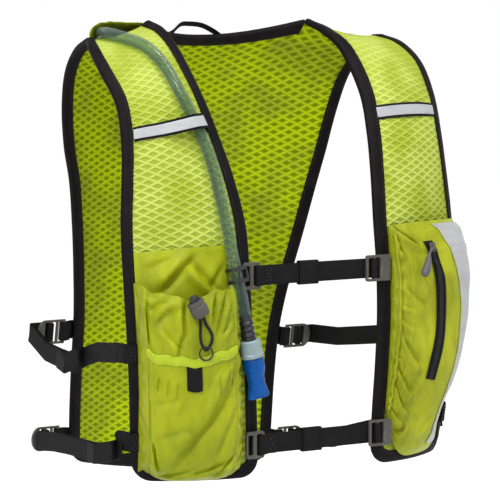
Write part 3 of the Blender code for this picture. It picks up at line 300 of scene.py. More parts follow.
@dataclass(frozen=True)
class FoldedTape(Finish):
    """Black binding tape with a satin face and close cross ribs."""

    face: Colour = (0.0022, 0.0016, 0.0020)
    # glow: the colour of the painted sheen, a painted highlight on the black tape.
    glow: Colour = (0.0075, 0.0052, 0.0066)

    def paint(self, shader: Shader) -> None:
        """Cross ribs, and a warm sheen painted into the colour in soft patches and along the ribs; the same
        patches vary the roughness and the bump.
        """
        ribs = (shader.cloth(1) / 0.0009).wave()
        rubbed = shader.noise(0.014, 4.0)
        # Painted sheen: the colour rises from face towards glow in the rubbed noise's soft patches and on the
        # rib crests. These are painted highlights, not wear.
        colour = shader.mix(rubbed.smooth(0.45, 0.75) * 0.7 + ribs * 0.15, self.face, self.glow)
        shader.paint(Base_Color=colour, Roughness=rubbed.scaled(0.50, 0.70), Specular_IOR_Level=0.10)
        shader.bump(ribs * 0.12 + rubbed * 0.8, 0.0006)


@dataclass(frozen=True)
class WovenStrap(Finish):
    """Black webbing with ribs across it, a herringbone face and firm edges."""

    face: Colour = (0.0030, 0.0029, 0.0034)
    thread: Colour = (0.0130, 0.0126, 0.0140)
    width: float = 0.020

    def paint(self, shader: Shader) -> None:
        """Ribs every millimetre and a half, broken into yarns."""
        across, along = shader.cloth(0), shader.cloth(1)
        zigzag = ((across / 0.004).math("PINGPONG", 0.5) * 0.002 + along) / 0.0015
        ribs = zigzag.wave()
        yarns = (across / 0.0010).wave()
        edge = (across / self.width - 0.5).math("ABSOLUTE").smooth(0.40, 0.46)
        height = ribs * (1 - edge * 0.6) * 0.7 + yarns * 0.3
        dust = shader.noise(0.02, 4.0)
        colour = shader.mix(height * 0.55 + dust.smooth(0.5, 0.8) * 0.25, self.face, self.thread)
        shader.paint(Base_Color=colour, Roughness=height.scaled(0.80, 0.62), Specular_IOR_Level=0.10)
        shader.bump(height, 0.00035)


@dataclass(frozen=True)
class ReflectiveTape(Finish):
    """Silver tape with fine beads and slight creases."""

    face: Colour = (0.350, 0.356, 0.372)
    # crease: a darker grey painted as shade in the tape's creases.
    crease: Colour = (0.265, 0.272, 0.288)

    def paint(self, shader: Shader) -> None:
        """Beads, shallow creases with painted shade in them, and an even grey."""
        beads = shader.noise(0.0006, 1.0)
        creases = shader.noise(0.012, 3.0, (0.4, 1.0, 1.6))
        # Painted shade: the colour darkens towards crease where the crease noise is high, the same noise that
        # shapes the bump.
        colour = shader.mix(creases.smooth(0.45, 0.75) * 0.6 + beads * 0.2, self.face, self.crease)
        shader.paint(Base_Color=colour, Metallic=0.25, Roughness=beads.scaled(0.32, 0.50))
        shader.bump(beads * 0.15 + creases, 0.00025)


@dataclass(frozen=True)
class Moulded(Finish):
    """Moulded plastic with a fine spark-eroded grain and rubbed edges."""

    face: Colour = (0.0520, 0.0490, 0.0430)
    rubbed: Colour = (0.0880, 0.0830, 0.0740)
    roughness: float = 0.42
    grain: float = 0.00006

    def paint(self, shader: Shader) -> None:
        """A fine grain, with lighter rubbed patches."""
        grain = shader.noise(0.0007, 3.0)
        wear = shader.noise(0.006, 4.0)
        colour = shader.mix(wear.smooth(0.50, 0.75) * 0.8 + grain * 0.1, self.face, self.rubbed)
        shader.paint(Base_Color=colour, Roughness=wear.scaled(self.roughness - 0.08, self.roughness + 0.12))
        shader.paint(Specular_IOR_Level=0.3)
        shader.bump(grain, self.grain)


@dataclass(frozen=True)
class ClearPlastic(Finish):
    """See-through soft plastic, clear or frosted, that shows what lies behind it."""

    tint: Colour = (0.16, 0.21, 0.19)
    glass: Colour = (0.80, 0.86, 0.83)
    facing: float = 0.09
    grazing: float = 0.78
    roughness: float = 0.07

    def paint(self, shader: Shader) -> None:
        """Clear where it faces the eye and cloudy towards its rims, with slight ripples in the wall."""
        cloud = shader.noise(0.010, 3.0)
        colour = shader.mix(cloud.smooth(0.35, 0.75), self.tint, tuple(0.85 * value for value in self.tint))
        shader.paint(Base_Color=colour, Roughness=cloud.scaled(self.roughness, self.roughness + 0.06))
        shader.paint(Specular_IOR_Level=0.7)
        shader.bump(cloud, 0.00004)
        rim = shader.add("ShaderNodeLayerWeight", sockets={"Blend": 0.5})
        rim = Channel(shader, rim.socket.node.outputs["Facing"])
        shader.see_through(self.glass, (rim**1.6).scaled(self.facing, self.grazing))


@dataclass(frozen=True)
class SoftRubber(Finish):
    """Soft moulded rubber with a satin skin."""

    face: Colour = (0.0005, 0.066, 0.270)
    deep: Colour = (0.0003, 0.040, 0.180)

    def paint(self, shader: Shader) -> None:
        """A satin skin, deeper in colour in slow patches, with a faint fine-grained bump."""
        slow = shader.noise(0.012, 3.0)
        skin = shader.noise(0.0012, 2.0)
        colour = shader.mix(slow.smooth(0.35, 0.70), self.face, self.deep)
        shader.paint(Base_Color=colour, Roughness=slow.scaled(0.24, 0.36), Specular_IOR_Level=0.14)
        shader.bump(skin, 0.00008)


@dataclass(frozen=True)
class BraidedCord(Finish):
    """Black elastic cord with a diagonal braid."""

    face: Colour = (0.0060, 0.0060, 0.0070)
    thread: Colour = (0.0300, 0.0290, 0.0310)

    def paint(self, shader: Shader) -> None:
        """Two crossing helices of yarns."""
        across, along = shader.cloth(0), shader.cloth(1)
        braid = (across / 0.0026 + along / 0.0022).wave() * (across / 0.0026 - along / 0.0022).wave()
        colour = shader.mix(braid, self.face, self.thread)
        shader.paint(Base_Color=colour, Roughness=braid.scaled(0.80, 0.60), Specular_IOR_Level=0.2)
        shader.bump(braid, 0.0002)


@dataclass(frozen=True)
class Thread(Finish):
    """Twisted sewing thread."""

    face: Colour = (0.005, 0.005, 0.005)

    def paint(self, shader: Shader) -> None:
        """A twisted yarn, lighter on its crests."""
        twist = shader.noise(0.0005, 2.0)
        pale = tuple(min(1.0, value * 1.8 + 0.01) for value in self.face)
        shader.paint(Base_Color=shader.mix(twist, self.face, pale), Roughness=twist.scaled(0.5, 0.7))
        shader.bump(twist, 0.0001)


FRONT_MESH = SpacerMesh("front_mesh", "lime_mesh", fade_end=0.16)
BACK_MESH = SpacerMesh(
    "back_mesh",
    "lime_mesh",
    ridge=(0.440, 0.550, 0.006),
    dimple=(0.100, 0.150, 0.000),
    depth=0.0014,
    core=0.42,
)
POCKET_CLOTH = Nylon("pocket_cloth", "lime_cloth")
BAND_CLOTH = Nylon("band_cloth", "lime_cloth", light=(0.335, 0.415, 0.018), dark=(0.245, 0.310, 0.004))
ZIP_CLOTH = Nylon("zip_pocket_cloth", "lime_cloth", light=(0.345, 0.375, 0.012), dark=(0.135, 0.155, 0.000))
BINDING_TAPE = FoldedTape("binding_tape", "black_binding")
WEBBING = WovenStrap("webbing", "black_webbing")
NARROW_TAPE = WovenStrap("narrow_tape", "black_webbing", width=0.006)
SILVER = ReflectiveTape("reflective_tape", "silver_tape")
GREY_PLASTIC = Moulded("buckle_plastic", "grey_plastic")
DARK_PLASTIC = Moulded(
    "dark_plastic", "black_plastic", face=(0.014, 0.014, 0.016), rubbed=(0.035, 0.035, 0.04)
)
GREY_RUBBER = Moulded("grip_rubber", "grey_plastic", face=(0.075, 0.071, 0.076), roughness=0.55)
CONNECTOR_PLASTIC = Moulded(
    "connector_plastic",
    "grey_plastic",
    face=(0.014, 0.014, 0.019),
    rubbed=(0.030, 0.030, 0.038),
    roughness=0.26,
)
CLEAR_TUBE = ClearPlastic("tube_plastic", "clear_tube")
FROSTED = ClearPlastic(
    "frosted_collar", "frosted_plastic", (0.235, 0.315, 0.345), facing=0.72, grazing=0.95, roughness=0.34
)
BLUE_RUBBER = SoftRubber("mouthpiece_rubber", "blue_rubber")
CORD = BraidedCord("elastic_cord", "black_webbing")
BLACK_THREAD = Thread("black_thread", "black_webbing")
LIME_THREAD = Thread("lime_thread", "lime_cloth", face=(0.30, 0.37, 0.02))


# Grids of cloth


@dataclass
class Patch:
    """A grid of points with its cloth coordinates, in metres."""

    points: np.ndarray
    cloth: np.ndarray

    @staticmethod
    def measured(points: np.ndarray) -> "Patch":
        """A patch whose cloth coordinates are measured along its middle row and middle column.

        Args:
            points: Rows by columns of points.

        Returns:
            The patch.
        """
        rows, columns = points.shape[:2]
        across = np.linalg.norm(np.diff(points[rows // 2], axis=0), axis=-1)
        down = np.linalg.norm(np.diff(points[:, columns // 2], axis=0), axis=-1)
        u = np.concatenate([[0.0], np.cumsum(across)])
        v = np.concatenate([[0.0], np.cumsum(down)])
        return Patch(points, np.stack(np.broadcast_arrays(u[None, :], v[:, None]), axis=-1))

    def normals(self) -> np.ndarray:
        """Unit normals, down a column crossed with along a row."""
        across = np.gradient(self.points, axis=1)
        down = np.gradient(self.points, axis=0)
        out = np.cross(down, across)
        return out / np.maximum(np.linalg.norm(out, axis=-1, keepdims=True), 1e-12)

    def sample(self, columns: np.ndarray, rows: np.ndarray, lift: float | np.ndarray = 0.0) -> np.ndarray:
        """Points on the surface at shares of its width and height.

        Args:
            columns: Shares from 0 to 1 across.
            rows: Shares from 0 to 1 down, of the same shape.
            lift: How far out along the normal.

        Returns:
            The points, with X, Y and Z last.
        """
        columns, rows = np.broadcast_arrays(columns, rows)
        x = np.clip(columns, 0, 1) * (self.points.shape[1] - 1)
        y = np.clip(rows, 0, 1) * (self.points.shape[0] - 1)
        left = np.minimum(x.astype(int), self.points.shape[1] - 2)
        top = np.minimum(y.astype(int), self.points.shape[0] - 2)
        fx, fy = (x - left)[..., None], (y - top)[..., None]

        def between(grid: np.ndarray) -> np.ndarray:
            """The grid's values at the places."""
            upper = grid[top, left] * (1 - fx) + grid[top, left + 1] * fx
            lower = grid[top + 1, left] * (1 - fx) + grid[top + 1, left + 1] * fx
            return upper * (1 - fy) + lower * fy

        lift = np.asarray(lift)[..., None] if np.ndim(lift) else lift
        return between(self.points) + between(self.normals()) * lift

    def row_line(self, row: float, ends: tuple[float, float], count: int, lift: float) -> np.ndarray:
        """A line of points across the cloth at one row, between two shares of its width."""
        return self.sample(np.linspace(*ends, count), np.full(count, row), lift)

    def column_line(self, column: float, ends: tuple[float, float], count: int, lift: float) -> np.ndarray:
        """A line of points down the cloth at one column, between two shares of its height."""
        return self.sample(np.full(count, column), np.linspace(*ends, count), lift)

    def mean_width(self) -> float:
        """The mean length of its rows."""
        return float(np.linalg.norm(np.diff(self.points, axis=1), axis=-1).sum(axis=1).mean())

    def mesh(self, name: str, wall: float = 0.0, edge: float = 0.0) -> bpy.types.Object:
        """Makes the patch an object.

        Args:
            name: The object's name.
            wall: The cloth's thickness, half on each side.
            edge: The radius that rounds the wall's edges.

        Returns:
            The object, in the scene.
        """
        rows, columns = self.points.shape[:2]
        index = np.arange(rows * columns).reshape(rows, columns)
        faces = np.stack([index[:-1, :-1], index[1:, :-1], index[1:, 1:], index[:-1, 1:]], axis=-1)
        thing = new_mesh(name, self.points.reshape(-1, 3), faces.reshape(-1, 4), self.cloth.reshape(-1, 2))
        if wall:
            thicken(thing, wall, edge)
        return thing


def new_mesh(name: str, points: np.ndarray, faces: Iterable, cloth: np.ndarray) -> bpy.types.Object:
    """Makes a smooth mesh object with a cloth map.

    Args:
        name: The object's name.
        points: Its points.
        faces: Its faces, as point numbers.
        cloth: The cloth coordinates of each point.

    Returns:
        The object, in the scene.
    """
    mesh = bpy.data.meshes.new(name)
    mesh.from_pydata([tuple(point) for point in points], [], [tuple(map(int, face)) for face in faces])
    layer = mesh.uv_layers.new(name="cloth")
    loops = np.empty(len(mesh.loops), np.int32)
    mesh.loops.foreach_get("vertex_index", loops)
    layer.data.foreach_set("uv", np.asarray(cloth, np.float32)[loops].reshape(-1))
    mesh.shade_smooth()
    thing = bpy.data.objects.new(name, mesh)
    bpy.context.scene.collection.objects.link(thing)
    return thing


def thicken(thing: bpy.types.Object, wall: float, edge: float = 0.0) -> None:
    """Gives a sheet a wall of even thickness, with rounded edges if an edge radius is given."""
    solid = thing.modifiers.new("Wall", "SOLIDIFY")
    solid.thickness = wall
    solid.offset = 0
    solid.use_even_offset = not edge
    if edge:
        round_edges(thing, edge, 2, 55)


def round_edges(thing: bpy.types.Object, radius: float, segments: int, sharper: float = 0.0) -> None:
    """Rounds a piece's edges, all of them or those that turn by more than an angle in degrees."""
    soft = thing.modifiers.new("Edge", "BEVEL")
    soft.width = radius
    soft.segments = segments
    if sharper:
        soft.limit_method = "ANGLE"
        soft.angle_limit = math.radians(sharper)


def stand(thing: bpy.types.Object, place: Vector, across: Vector, up: Vector) -> None:
    """Places a piece with its own X along one direction and its Y along another."""
    turn = Matrix((across, up, across.cross(up))).transposed().to_4x4()
    thing.matrix_world = Matrix.Translation(place) @ turn


def raise_along(thing: bpy.types.Object, place: Vector, axis: Vector) -> None:
    """Places a piece with its own Z along an axis."""
    turn = UP.rotation_difference(axis).to_matrix().to_4x4()
    thing.matrix_world = Matrix.Translation(place) @ turn


def aim_at(thing: bpy.types.Object, place: Sequence[float], forward: Vector) -> None:
    """Places a lamp or camera so that it looks along a direction."""
    turn = forward.to_track_quat("-Z", "Y").to_matrix().to_4x4()
    thing.matrix_world = Matrix.Translation(place) @ turn


def length_of(path: np.ndarray) -> float:
    """The length of a path of points."""
    return float(np.linalg.norm(np.diff(path, axis=0), axis=1).sum())


def bands(rings: int, sides: int, first: int = 0) -> list[tuple[int, ...]]:
    """The faces between rings of points, each numbered on from the ring before it.

    Args:
        rings: How many rings there are.
        sides: How many points a ring has.
        first: The number of the first ring's first point.

    Returns:
        The faces.
    """
    faces = []
    for start in range(first, first + (rings - 1) * sides, sides):
        for index in range(sides):
            beside = (index + 1) % sides
            faces.append((start + index, start + beside, start + sides + beside, start + sides + index))
    return faces


def hill(x: np.ndarray, middle: float, width: float) -> np.ndarray:
    """A soft hill of height 1 round a middle value."""
    return np.exp(-(((x - middle) / width) ** 2))


def clear_of_ends(share: np.ndarray, reach: float) -> np.ndarray:
    """Rises from 0 at the shares 0 and 1 to 1 at a reach from them."""
    return np.clip(np.minimum(share, 1 - share) / reach, 0, 1)


def finished(
    thing: bpy.types.Object, finish: Finish, nodes: Sequence[str] = (), body: str = VEST
) -> bpy.types.Object:
    """Gives a piece its finish, its body and the frame nodes that it stands for.

    Args:
        thing: The piece.
        finish: Its finish.
        nodes: The nodes that it replaces.
        body: The body that it rides on.

    Returns:
        The same piece.
    """
    thing.data.materials.clear()
    thing.data.materials.append(finish.material())
    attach(thing, body)
    if nodes:
        thing.name = f"{nodes[0]}_dressed"
        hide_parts(*nodes)
    LOG.info("%s: %s", thing.name, finish.name)
    return thing


def along(rows: Sequence, t: np.ndarray | float) -> np.ndarray:
    """Reads a table of evenly spread rows on a smooth curve.

    Args:
        rows: One row for each section.
        t: Places from 0 to 1, of any shape.

    Returns:
        The rows at those places, with the table's columns last.
    """
    table = np.asarray(rows, float)
    table = np.vstack([2 * table[0] - table[1], table, 2 * table[-1] - table[-2]])
    place = np.clip(t, 0, 1) * (len(table) - 3)
    first = np.minimum(np.asarray(place).astype(int), len(table) - 4)
    before, start, end, after = (table[first + step] for step in range(4))
    share = np.asarray(place - first)[..., None]
    square, cube = share**2, share**3
    return (
        (2 * cube - 3 * square + 1) * start
        + (cube - 2 * square + share) * (end - before) / 2
        + (3 * square - 2 * cube) * end
        + (cube - square) * (after - start) / 2
    )


def smooth_route(points: Sequence, spacing: float) -> np.ndarray:
    """Points about this far apart on a smooth curve through the given ones."""
    points = np.asarray(points, float)
    count = max(2, round(length_of(points) / spacing))
    return along(points, np.linspace(0, 1, count + 1))


def rounded_path(points: Sequence, radius: float, spacing: float = 0.002) -> np.ndarray:
    """A polyline with its corners turned on arcs and its straight runs divided.

    Args:
        points: The corners.
        radius: The radius of the turns.
        spacing: The distance between points on the straight runs.

    Returns:
        The path's points.
    """
    points = [Vector(point) for point in points]
    path = [points[0]]
    for before, corner, after in zip(points, points[1:], points[2:]):
        arrive, leave = (corner - before).normalized(), (after - corner).normalized()
        reach = min(
            radius * math.tan(max(arrive.angle(leave), 0.02) / 2),
            (corner - before).length * 0.48,
            (after - corner).length * 0.48,
        )
        start, end = corner - arrive * reach, corner + leave * reach
        for step in range(6):
            share = step / 5
            path.append(start.lerp(corner, share).lerp(corner.lerp(end, share), share))
    path.append(points[-1])
    dense = [path[0]]
    for start, end in zip(path, path[1:]):
        count = max(1, round((end - start).length / spacing))
        dense += [start.lerp(end, step / count) for step in range(1, count + 1)]
    dense = np.array([tuple(point) for point in dense])
    apart = np.linalg.norm(np.diff(dense, axis=0), axis=1) > 2e-5
    return dense[np.concatenate([[True], apart])]


def ripples(u: np.ndarray, v: np.ndarray, seed: int, size: float, slant: float = 1.0) -> np.ndarray:
    """Seeded soft waves from -1 to 1 over cloth coordinates.

    Args:
        u: Distances across.
        v: Distances along.
        seed: Which waves.
        size: Their usual length, in metres.
        slant: How much more they vary across than along.

    Returns:
        The waves' height at each place.
    """
    random = np.random.default_rng(seed)
    total = np.zeros(np.broadcast(u, v).shape)
    for _ in range(7):
        angle, phase = random.uniform(0, math.pi), random.uniform(0, math.tau)
        number = math.tau / (size * random.uniform(0.6, 1.8))
        total += np.sin(number * (slant * math.cos(angle) * u + math.sin(angle) * v) + phase)
    return total / 7 * 1.6


@dataclass(frozen=True)
class Fold:
    """A fold in cloth between two places: a soft ridge with a crease on one side of it."""

    start: tuple[float, float]
    end: tuple[float, float]
    height: float = 0.0020
    width: float = 0.0040
    crease: float = 1.1
    gain: float = 1.55

    def lift(self, u: np.ndarray, v: np.ndarray, size: tuple[float, float]) -> np.ndarray:
        """How far the fold lifts the cloth.

        Args:
            u: Shares across the cloth.
            v: Shares down the cloth.
            size: The cloth's width and height in metres.

        Returns:
            The lift at each place, in metres.
        """
        scale = np.array(size)
        first, run = np.array(self.start) * scale, (np.array(self.end) - self.start) * scale
        length = float(np.hypot(*run))
        ahead = run / length
        x, y = u * scale[0] - first[0], v * scale[1] - first[1]
        place = x * ahead[0] + y * ahead[1]
        aside = x * ahead[1] - y * ahead[0]
        aside = aside + 0.12 * length * np.sin(math.pi * np.clip(place / length, 0, 1)) * 0.35
        ends = np.clip(np.minimum(place + 0.002, length * 1.05 - place) / (0.28 * length), 0, 1)
        ridge = hill(aside, 0.0, self.width)
        crease = hill(aside, 1.15 * self.width, 0.55 * self.width)
        return self.gain * self.height * ends * (ridge - self.crease * crease)


def folded(folds: Sequence[Fold], u: np.ndarray, v: np.ndarray, size: tuple[float, float]) -> np.ndarray:
    """The lift of several folds together."""
    u, v = np.broadcast_arrays(u, v)
    return sum((fold.lift(u, v, size) for fold in folds), np.zeros(u.shape))


# The panels' middle surfaces

# Half of the front, from the shoulder seam down: both edges, and how far the middle bows out
FRONT_ROWS = (
    # inner x, inner y, inner z, outer x, outer y, outer z, bow
    (0.0970, 0.0000, 0.0000, 0.1860, -0.0200, -0.0180, -0.0070),
    (0.0965, -0.0280, -0.0090, 0.1960, -0.0430, -0.0270, -0.0020),
    (0.1000, -0.0600, -0.0300, 0.2000, -0.0690, -0.0480, 0.0060),
    (0.0980, -0.0970, -0.0730, 0.1965, -0.0935, -0.0800, 0.0100),
    (0.0920, -0.1190, -0.1140, 0.1970, -0.1045, -0.1180, 0.0110),
    (0.0850, -0.1360, -0.1560, 0.2000, -0.1095, -0.1580, 0.0110),
    (0.0795, -0.1485, -0.2020, 0.2035, -0.1135, -0.2020, 0.0110),
    (0.0790, -0.1550, -0.2500, 0.2040, -0.1185, -0.2500, 0.0110),
    (0.0780, -0.1580, -0.3000, 0.2030, -0.1225, -0.3000, 0.0110),
    (0.0750, -0.1590, -0.3500, 0.2000, -0.1220, -0.3500, 0.0105),
    (0.0720, -0.1580, -0.4000, 0.1945, -0.1150, -0.4000, 0.0100),
    (0.0700, -0.1575, -0.4530, 0.1890, -0.1090, -0.4530, 0.0100),
)

# The back, from the shoulders down: its outer edge, and its middle line
BACK_ROWS = (
    # edge x, edge y, edge z, middle y, middle z
    (0.1860, -0.0200, -0.0180, 0.0480, -0.0160),
    (0.1825, 0.0090, -0.0310, 0.0620, -0.0360),
    (0.1785, 0.0330, -0.0560, 0.0740, -0.0600),
    (0.1730, 0.0480, -0.0930, 0.0850, -0.0950),
    (0.1655, 0.0570, -0.1350, 0.0940, -0.1350),
    (0.1555, 0.0630, -0.1750, 0.1010, -0.1750),
    (0.1465, 0.0730, -0.2220, 0.1080, -0.2220),
    (0.1380, 0.0850, -0.2700, 0.1160, -0.2700),
    (0.1315, 0.0960, -0.3220, 0.1240, -0.3220),
    (0.1300, 0.1040, -0.3730, 0.1310, -0.3730),
    (0.1295, 0.1090, -0.4230, 0.1350, -0.4250),
    (0.1285, 0.1130, -0.4780, 0.1380, -0.4890),
)


class Panel:
    """A curved panel whose points are found by a share of its width and t down from the shoulder."""

    thickness = 0.0035
    seam = 0.0012

    def middle(self, s: np.ndarray, t: np.ndarray) -> np.ndarray:
        """Points of the middle surface."""
        raise NotImplementedError

    def outward(self, s: np.ndarray, t: np.ndarray) -> np.ndarray:
        """Unit normals that point away from the wearer."""
        near = np.clip(t, 0.005, 0.995)
        down = self.middle(s, near + 0.005) - self.middle(s, near - 0.005)
        out = np.cross(down, self.middle(s + 0.01, t) - self.middle(s - 0.01, t)) * self.turn
        return out / np.linalg.norm(out, axis=-1, keepdims=True)

    def at(self, s: np.ndarray | float, t: np.ndarray | float, rise: np.ndarray | float = 0.0) -> np.ndarray:
        """Points at shares of the width, at heights above the middle surface.

        Args:
            s: Shares of the width.
            t: Places down the panel.
            rise: Heights, outwards.

        Returns:
            The points, with X, Y and Z last.
        """
        s, t, rise = np.broadcast_arrays(np.asarray(s, float), np.asarray(t, float), np.asarray(rise, float))
        return (self.middle(s, t) + self.outward(s, t) * rise[..., None]) * self.mirror

    def vector(self, s: float, t: float, rise: float = 0.0) -> Vector:
        """One point."""
        return Vector(self.at(s, t, rise))


class FrontPanel(Panel):
    """A front panel, with s from 0 at its inner edge to 1 at its outer edge."""

    turn = 1.0

    def __init__(self, side: Side) -> None:
        """Keeps the side."""
        self.side = side
        self.mirror = np.array((side.value, 1.0, 1.0))

    def width(self, t: np.ndarray) -> np.ndarray:
        """The straight width at t."""
        row = along(FRONT_ROWS, t)
        return np.linalg.norm(row[..., 3:6] - row[..., 0:3], axis=-1)

    def share(self, distance: np.ndarray, t: np.ndarray) -> np.ndarray:
        """The share of the width at a distance from the first edge."""
        return distance / self.width(t)

    def middle(self, s: np.ndarray, t: np.ndarray) -> np.ndarray:
        """Points of the middle surface, for the left side."""
        row = along(FRONT_ROWS, t)
        near = np.clip(t, 0.01, 0.99)
        step = along(FRONT_ROWS, near + 0.01) - along(FRONT_ROWS, near - 0.01)
        out = np.cross(step[..., 0:3] + step[..., 3:6], row[..., 3:6] - row[..., 0:3])
        out /= np.linalg.norm(out, axis=-1, keepdims=True)
        s = np.asarray(s)[..., None]
        return row[..., 0:3] * (1 - s) + row[..., 3:6] * s + out * row[..., 6:7] * 4 * s * (1 - s)


class BackPanel(Panel):
    """The back panel, with s from -1 at its right edge to 1 at its left edge."""

    turn = -1.0
    mirror = np.ones(3)
    neck_tip = np.array((0.0970, 0.0, 0.0))
    neck_middle = np.array((0.0, 0.0480, -0.0160))
    neck_share = 0.52
    neck_curve = 2.2
    neck_fade = 0.30
    sag = 0.006
    tilt = 0.0115

    def width(self, t: np.ndarray) -> np.ndarray:
        """The straight width at t."""
        return 2 * along(BACK_ROWS, t)[..., 0]

    def share(self, distance: np.ndarray, t: np.ndarray) -> np.ndarray:
        """The share of the half width at a distance from the right edge."""
        return 2 * distance / self.width(t) - 1

    def plain(self, row: np.ndarray, s: np.ndarray) -> np.ndarray:
        """Points of a row's parabola."""
        square = s * s
        y = row[..., 3] + (row[..., 1] - row[..., 3]) * square
        z = row[..., 4] + (row[..., 2] - row[..., 4]) * square
        return np.stack((row[..., 0] * s, y, z), axis=-1)

    def top(self, s: np.ndarray) -> np.ndarray:
        """The neck's curve, and the shoulder seams that sag beside it."""
        inner = (np.minimum(np.abs(s), self.neck_share) / self.neck_share)[..., None]
        power = np.concatenate([inner, inner**self.neck_curve, inner**self.neck_curve], axis=-1)
        neck = self.neck_middle + (self.neck_tip - self.neck_middle) * power
        beyond = (np.maximum(np.abs(s) - self.neck_share, 0) / (1 - self.neck_share))[..., None]
        shoulder = self.neck_tip + (np.array(BACK_ROWS[0][0:3]) - self.neck_tip) * beyond
        shoulder[..., 2:3] -= self.sag * 4 * beyond * (1 - beyond)
        point = np.where(np.abs(s)[..., None] <= self.neck_share, neck, shoulder)
        point[..., 0] = np.copysign(point[..., 0], s)
        return point

    def middle(self, s: np.ndarray, t: np.ndarray) -> np.ndarray:
        """Points of the middle surface."""
        s, t = np.broadcast_arrays(np.asarray(s, float), np.asarray(t, float))
        fade = (np.maximum(0.0, 1 - t / self.neck_fade) ** 2)[..., None]
        first = np.broadcast_to(np.asarray(BACK_ROWS[0], float), (*s.shape, 5))
        point = self.plain(along(BACK_ROWS, t), s) + fade * (self.top(s) - self.plain(first, s))
        point[..., 2] -= self.tilt * s * np.minimum(1.0, t / 0.6)
        return point


BACK = BackPanel()
FRONTS = {side: FrontPanel(side) for side in Side}


@dataclass
class Edging:
    """How a panel's outline runs, and the folded tape that binds it."""

    panel: Panel
    hem_radius: float = 0.020
    t_per_metre: float = 1.715
    width: float = 0.012
    half: float = 0.00305
    wall: float = 0.0010
    inner_gain: float = 0.0

    @property
    def hem_start(self) -> float:
        """Where the hem's corners begin."""
        return 1 - self.hem_radius * self.t_per_metre

    def rows(self, inset: float, count: int) -> np.ndarray:
        """Rows of (t, inset from the outline) down the panel, with its hem corners rounded."""
        heights = np.linspace(self.panel.seam, self.hem_start, count)
        rows = [(t, inset) for t in heights]
        radius = self.hem_radius - inset
        for turn in np.radians(np.linspace(10, 90, 9)):
            t = self.hem_start + radius * math.sin(turn) * self.t_per_metre
            rows.append((t, self.hem_radius - radius * math.cos(turn)))
        return np.array(rows)

    def outline(self) -> np.ndarray:
        """Rows of (side, distance in, t, inward across, inward down) round the edges and hem."""
        first = [(0, 0.0, t, 1.0, 0.0) for t in np.linspace(self.panel.seam, self.hem_start, 90)]
        for turn in np.radians(np.linspace(10, 90, 9)):
            distance = self.hem_radius * (1 - math.cos(turn))
            t = self.hem_start + self.hem_radius * math.sin(turn) * self.t_per_metre
            first.append((0, distance, t, math.cos(turn), -math.sin(turn)))
        width = float(self.panel.width(1.0))
        hem = [
            (0.5, distance, 1.0, 0.0, -1.0)
            for distance in np.linspace(self.hem_radius, width - self.hem_radius, 40)[1:-1]
        ]
        second = [(1, *row[1:]) for row in reversed(first)]
        return np.array(first + hem + second)

    def place(self, path: np.ndarray, inset: np.ndarray, rise: np.ndarray, t_per_metre: float) -> np.ndarray:
        """Points beside a path of outline rows.

        Args:
            path: Outline rows.
            inset: Distances in from the outline, one for each column.
            rise: Heights above the middle surface, one for each row and column.
            t_per_metre: How far a metre goes in t.

        Returns:
            Rows by columns of points.
        """
        side, distance, t, across, down = (path[:, index : index + 1] for index in range(5))
        inset = inset * (1 + self.inner_gain * (1 - 2 * side))
        t_in = t + down * inset * t_per_metre
        from_edge = distance + across * inset
        from_edge = np.where(side == 1, self.panel.width(t_in) - from_edge, from_edge)
        return self.panel.at(self.panel.share(from_edge, t_in), t_in, rise)

    def tape(self, name: str, path: np.ndarray, t_per_metre: float, seed: int) -> list[bpy.types.Object]:
        """Makes the folded tape and its two rows of stitches.

        Args:
            name: The tape's node.
            path: Outline rows.
            t_per_metre: How far a metre goes in t.
            seed: Which puckers it has.

        Returns:
            The tape and the stitches.
        """
        profile = ((0.0121, 0.90), (0.0116, 0.99), (0.0095, 1.06), (0.0065, 1.10), (0.0035, 1.06))
        profile += ((0.0016, 0.90), (0.0006, 0.55), (0.0003, 0.0))
        profile += tuple((inset, -share) for inset, share in reversed(profile[:-1]))
        inset = np.array([row[0] for row in profile]) * self.width / 0.012
        share = np.array([row[1] for row in profile])
        flat = self.place(path, inset, self.half * share, t_per_metre)
        patch = Patch.measured(flat)
        puckers = ripples(patch.cloth[..., 0], patch.cloth[..., 1], seed, 0.013, 0.4)
        rise = self.half * share * (1 + 0.10 * puckers * (np.abs(share) > 0.95))
        patch.points = self.place(path, inset, rise, t_per_metre)
        tape = finished(patch.mesh(name, self.wall, 0.0003), BINDING_TAPE, [name])
        stitches = []
        for face, sign in (("outer", 1), ("inner", -1)):
            rise = sign * (self.half * 1.03 + 0.0006)
            line = self.place(path, np.array([self.width * 0.83]), rise, t_per_metre)
            seam = Stitching(f"{name}_{face}_stitches", BLACK_THREAD)
            stitches.append(seam.sew([line[:, 0]]))
        return [tape, *stitches]


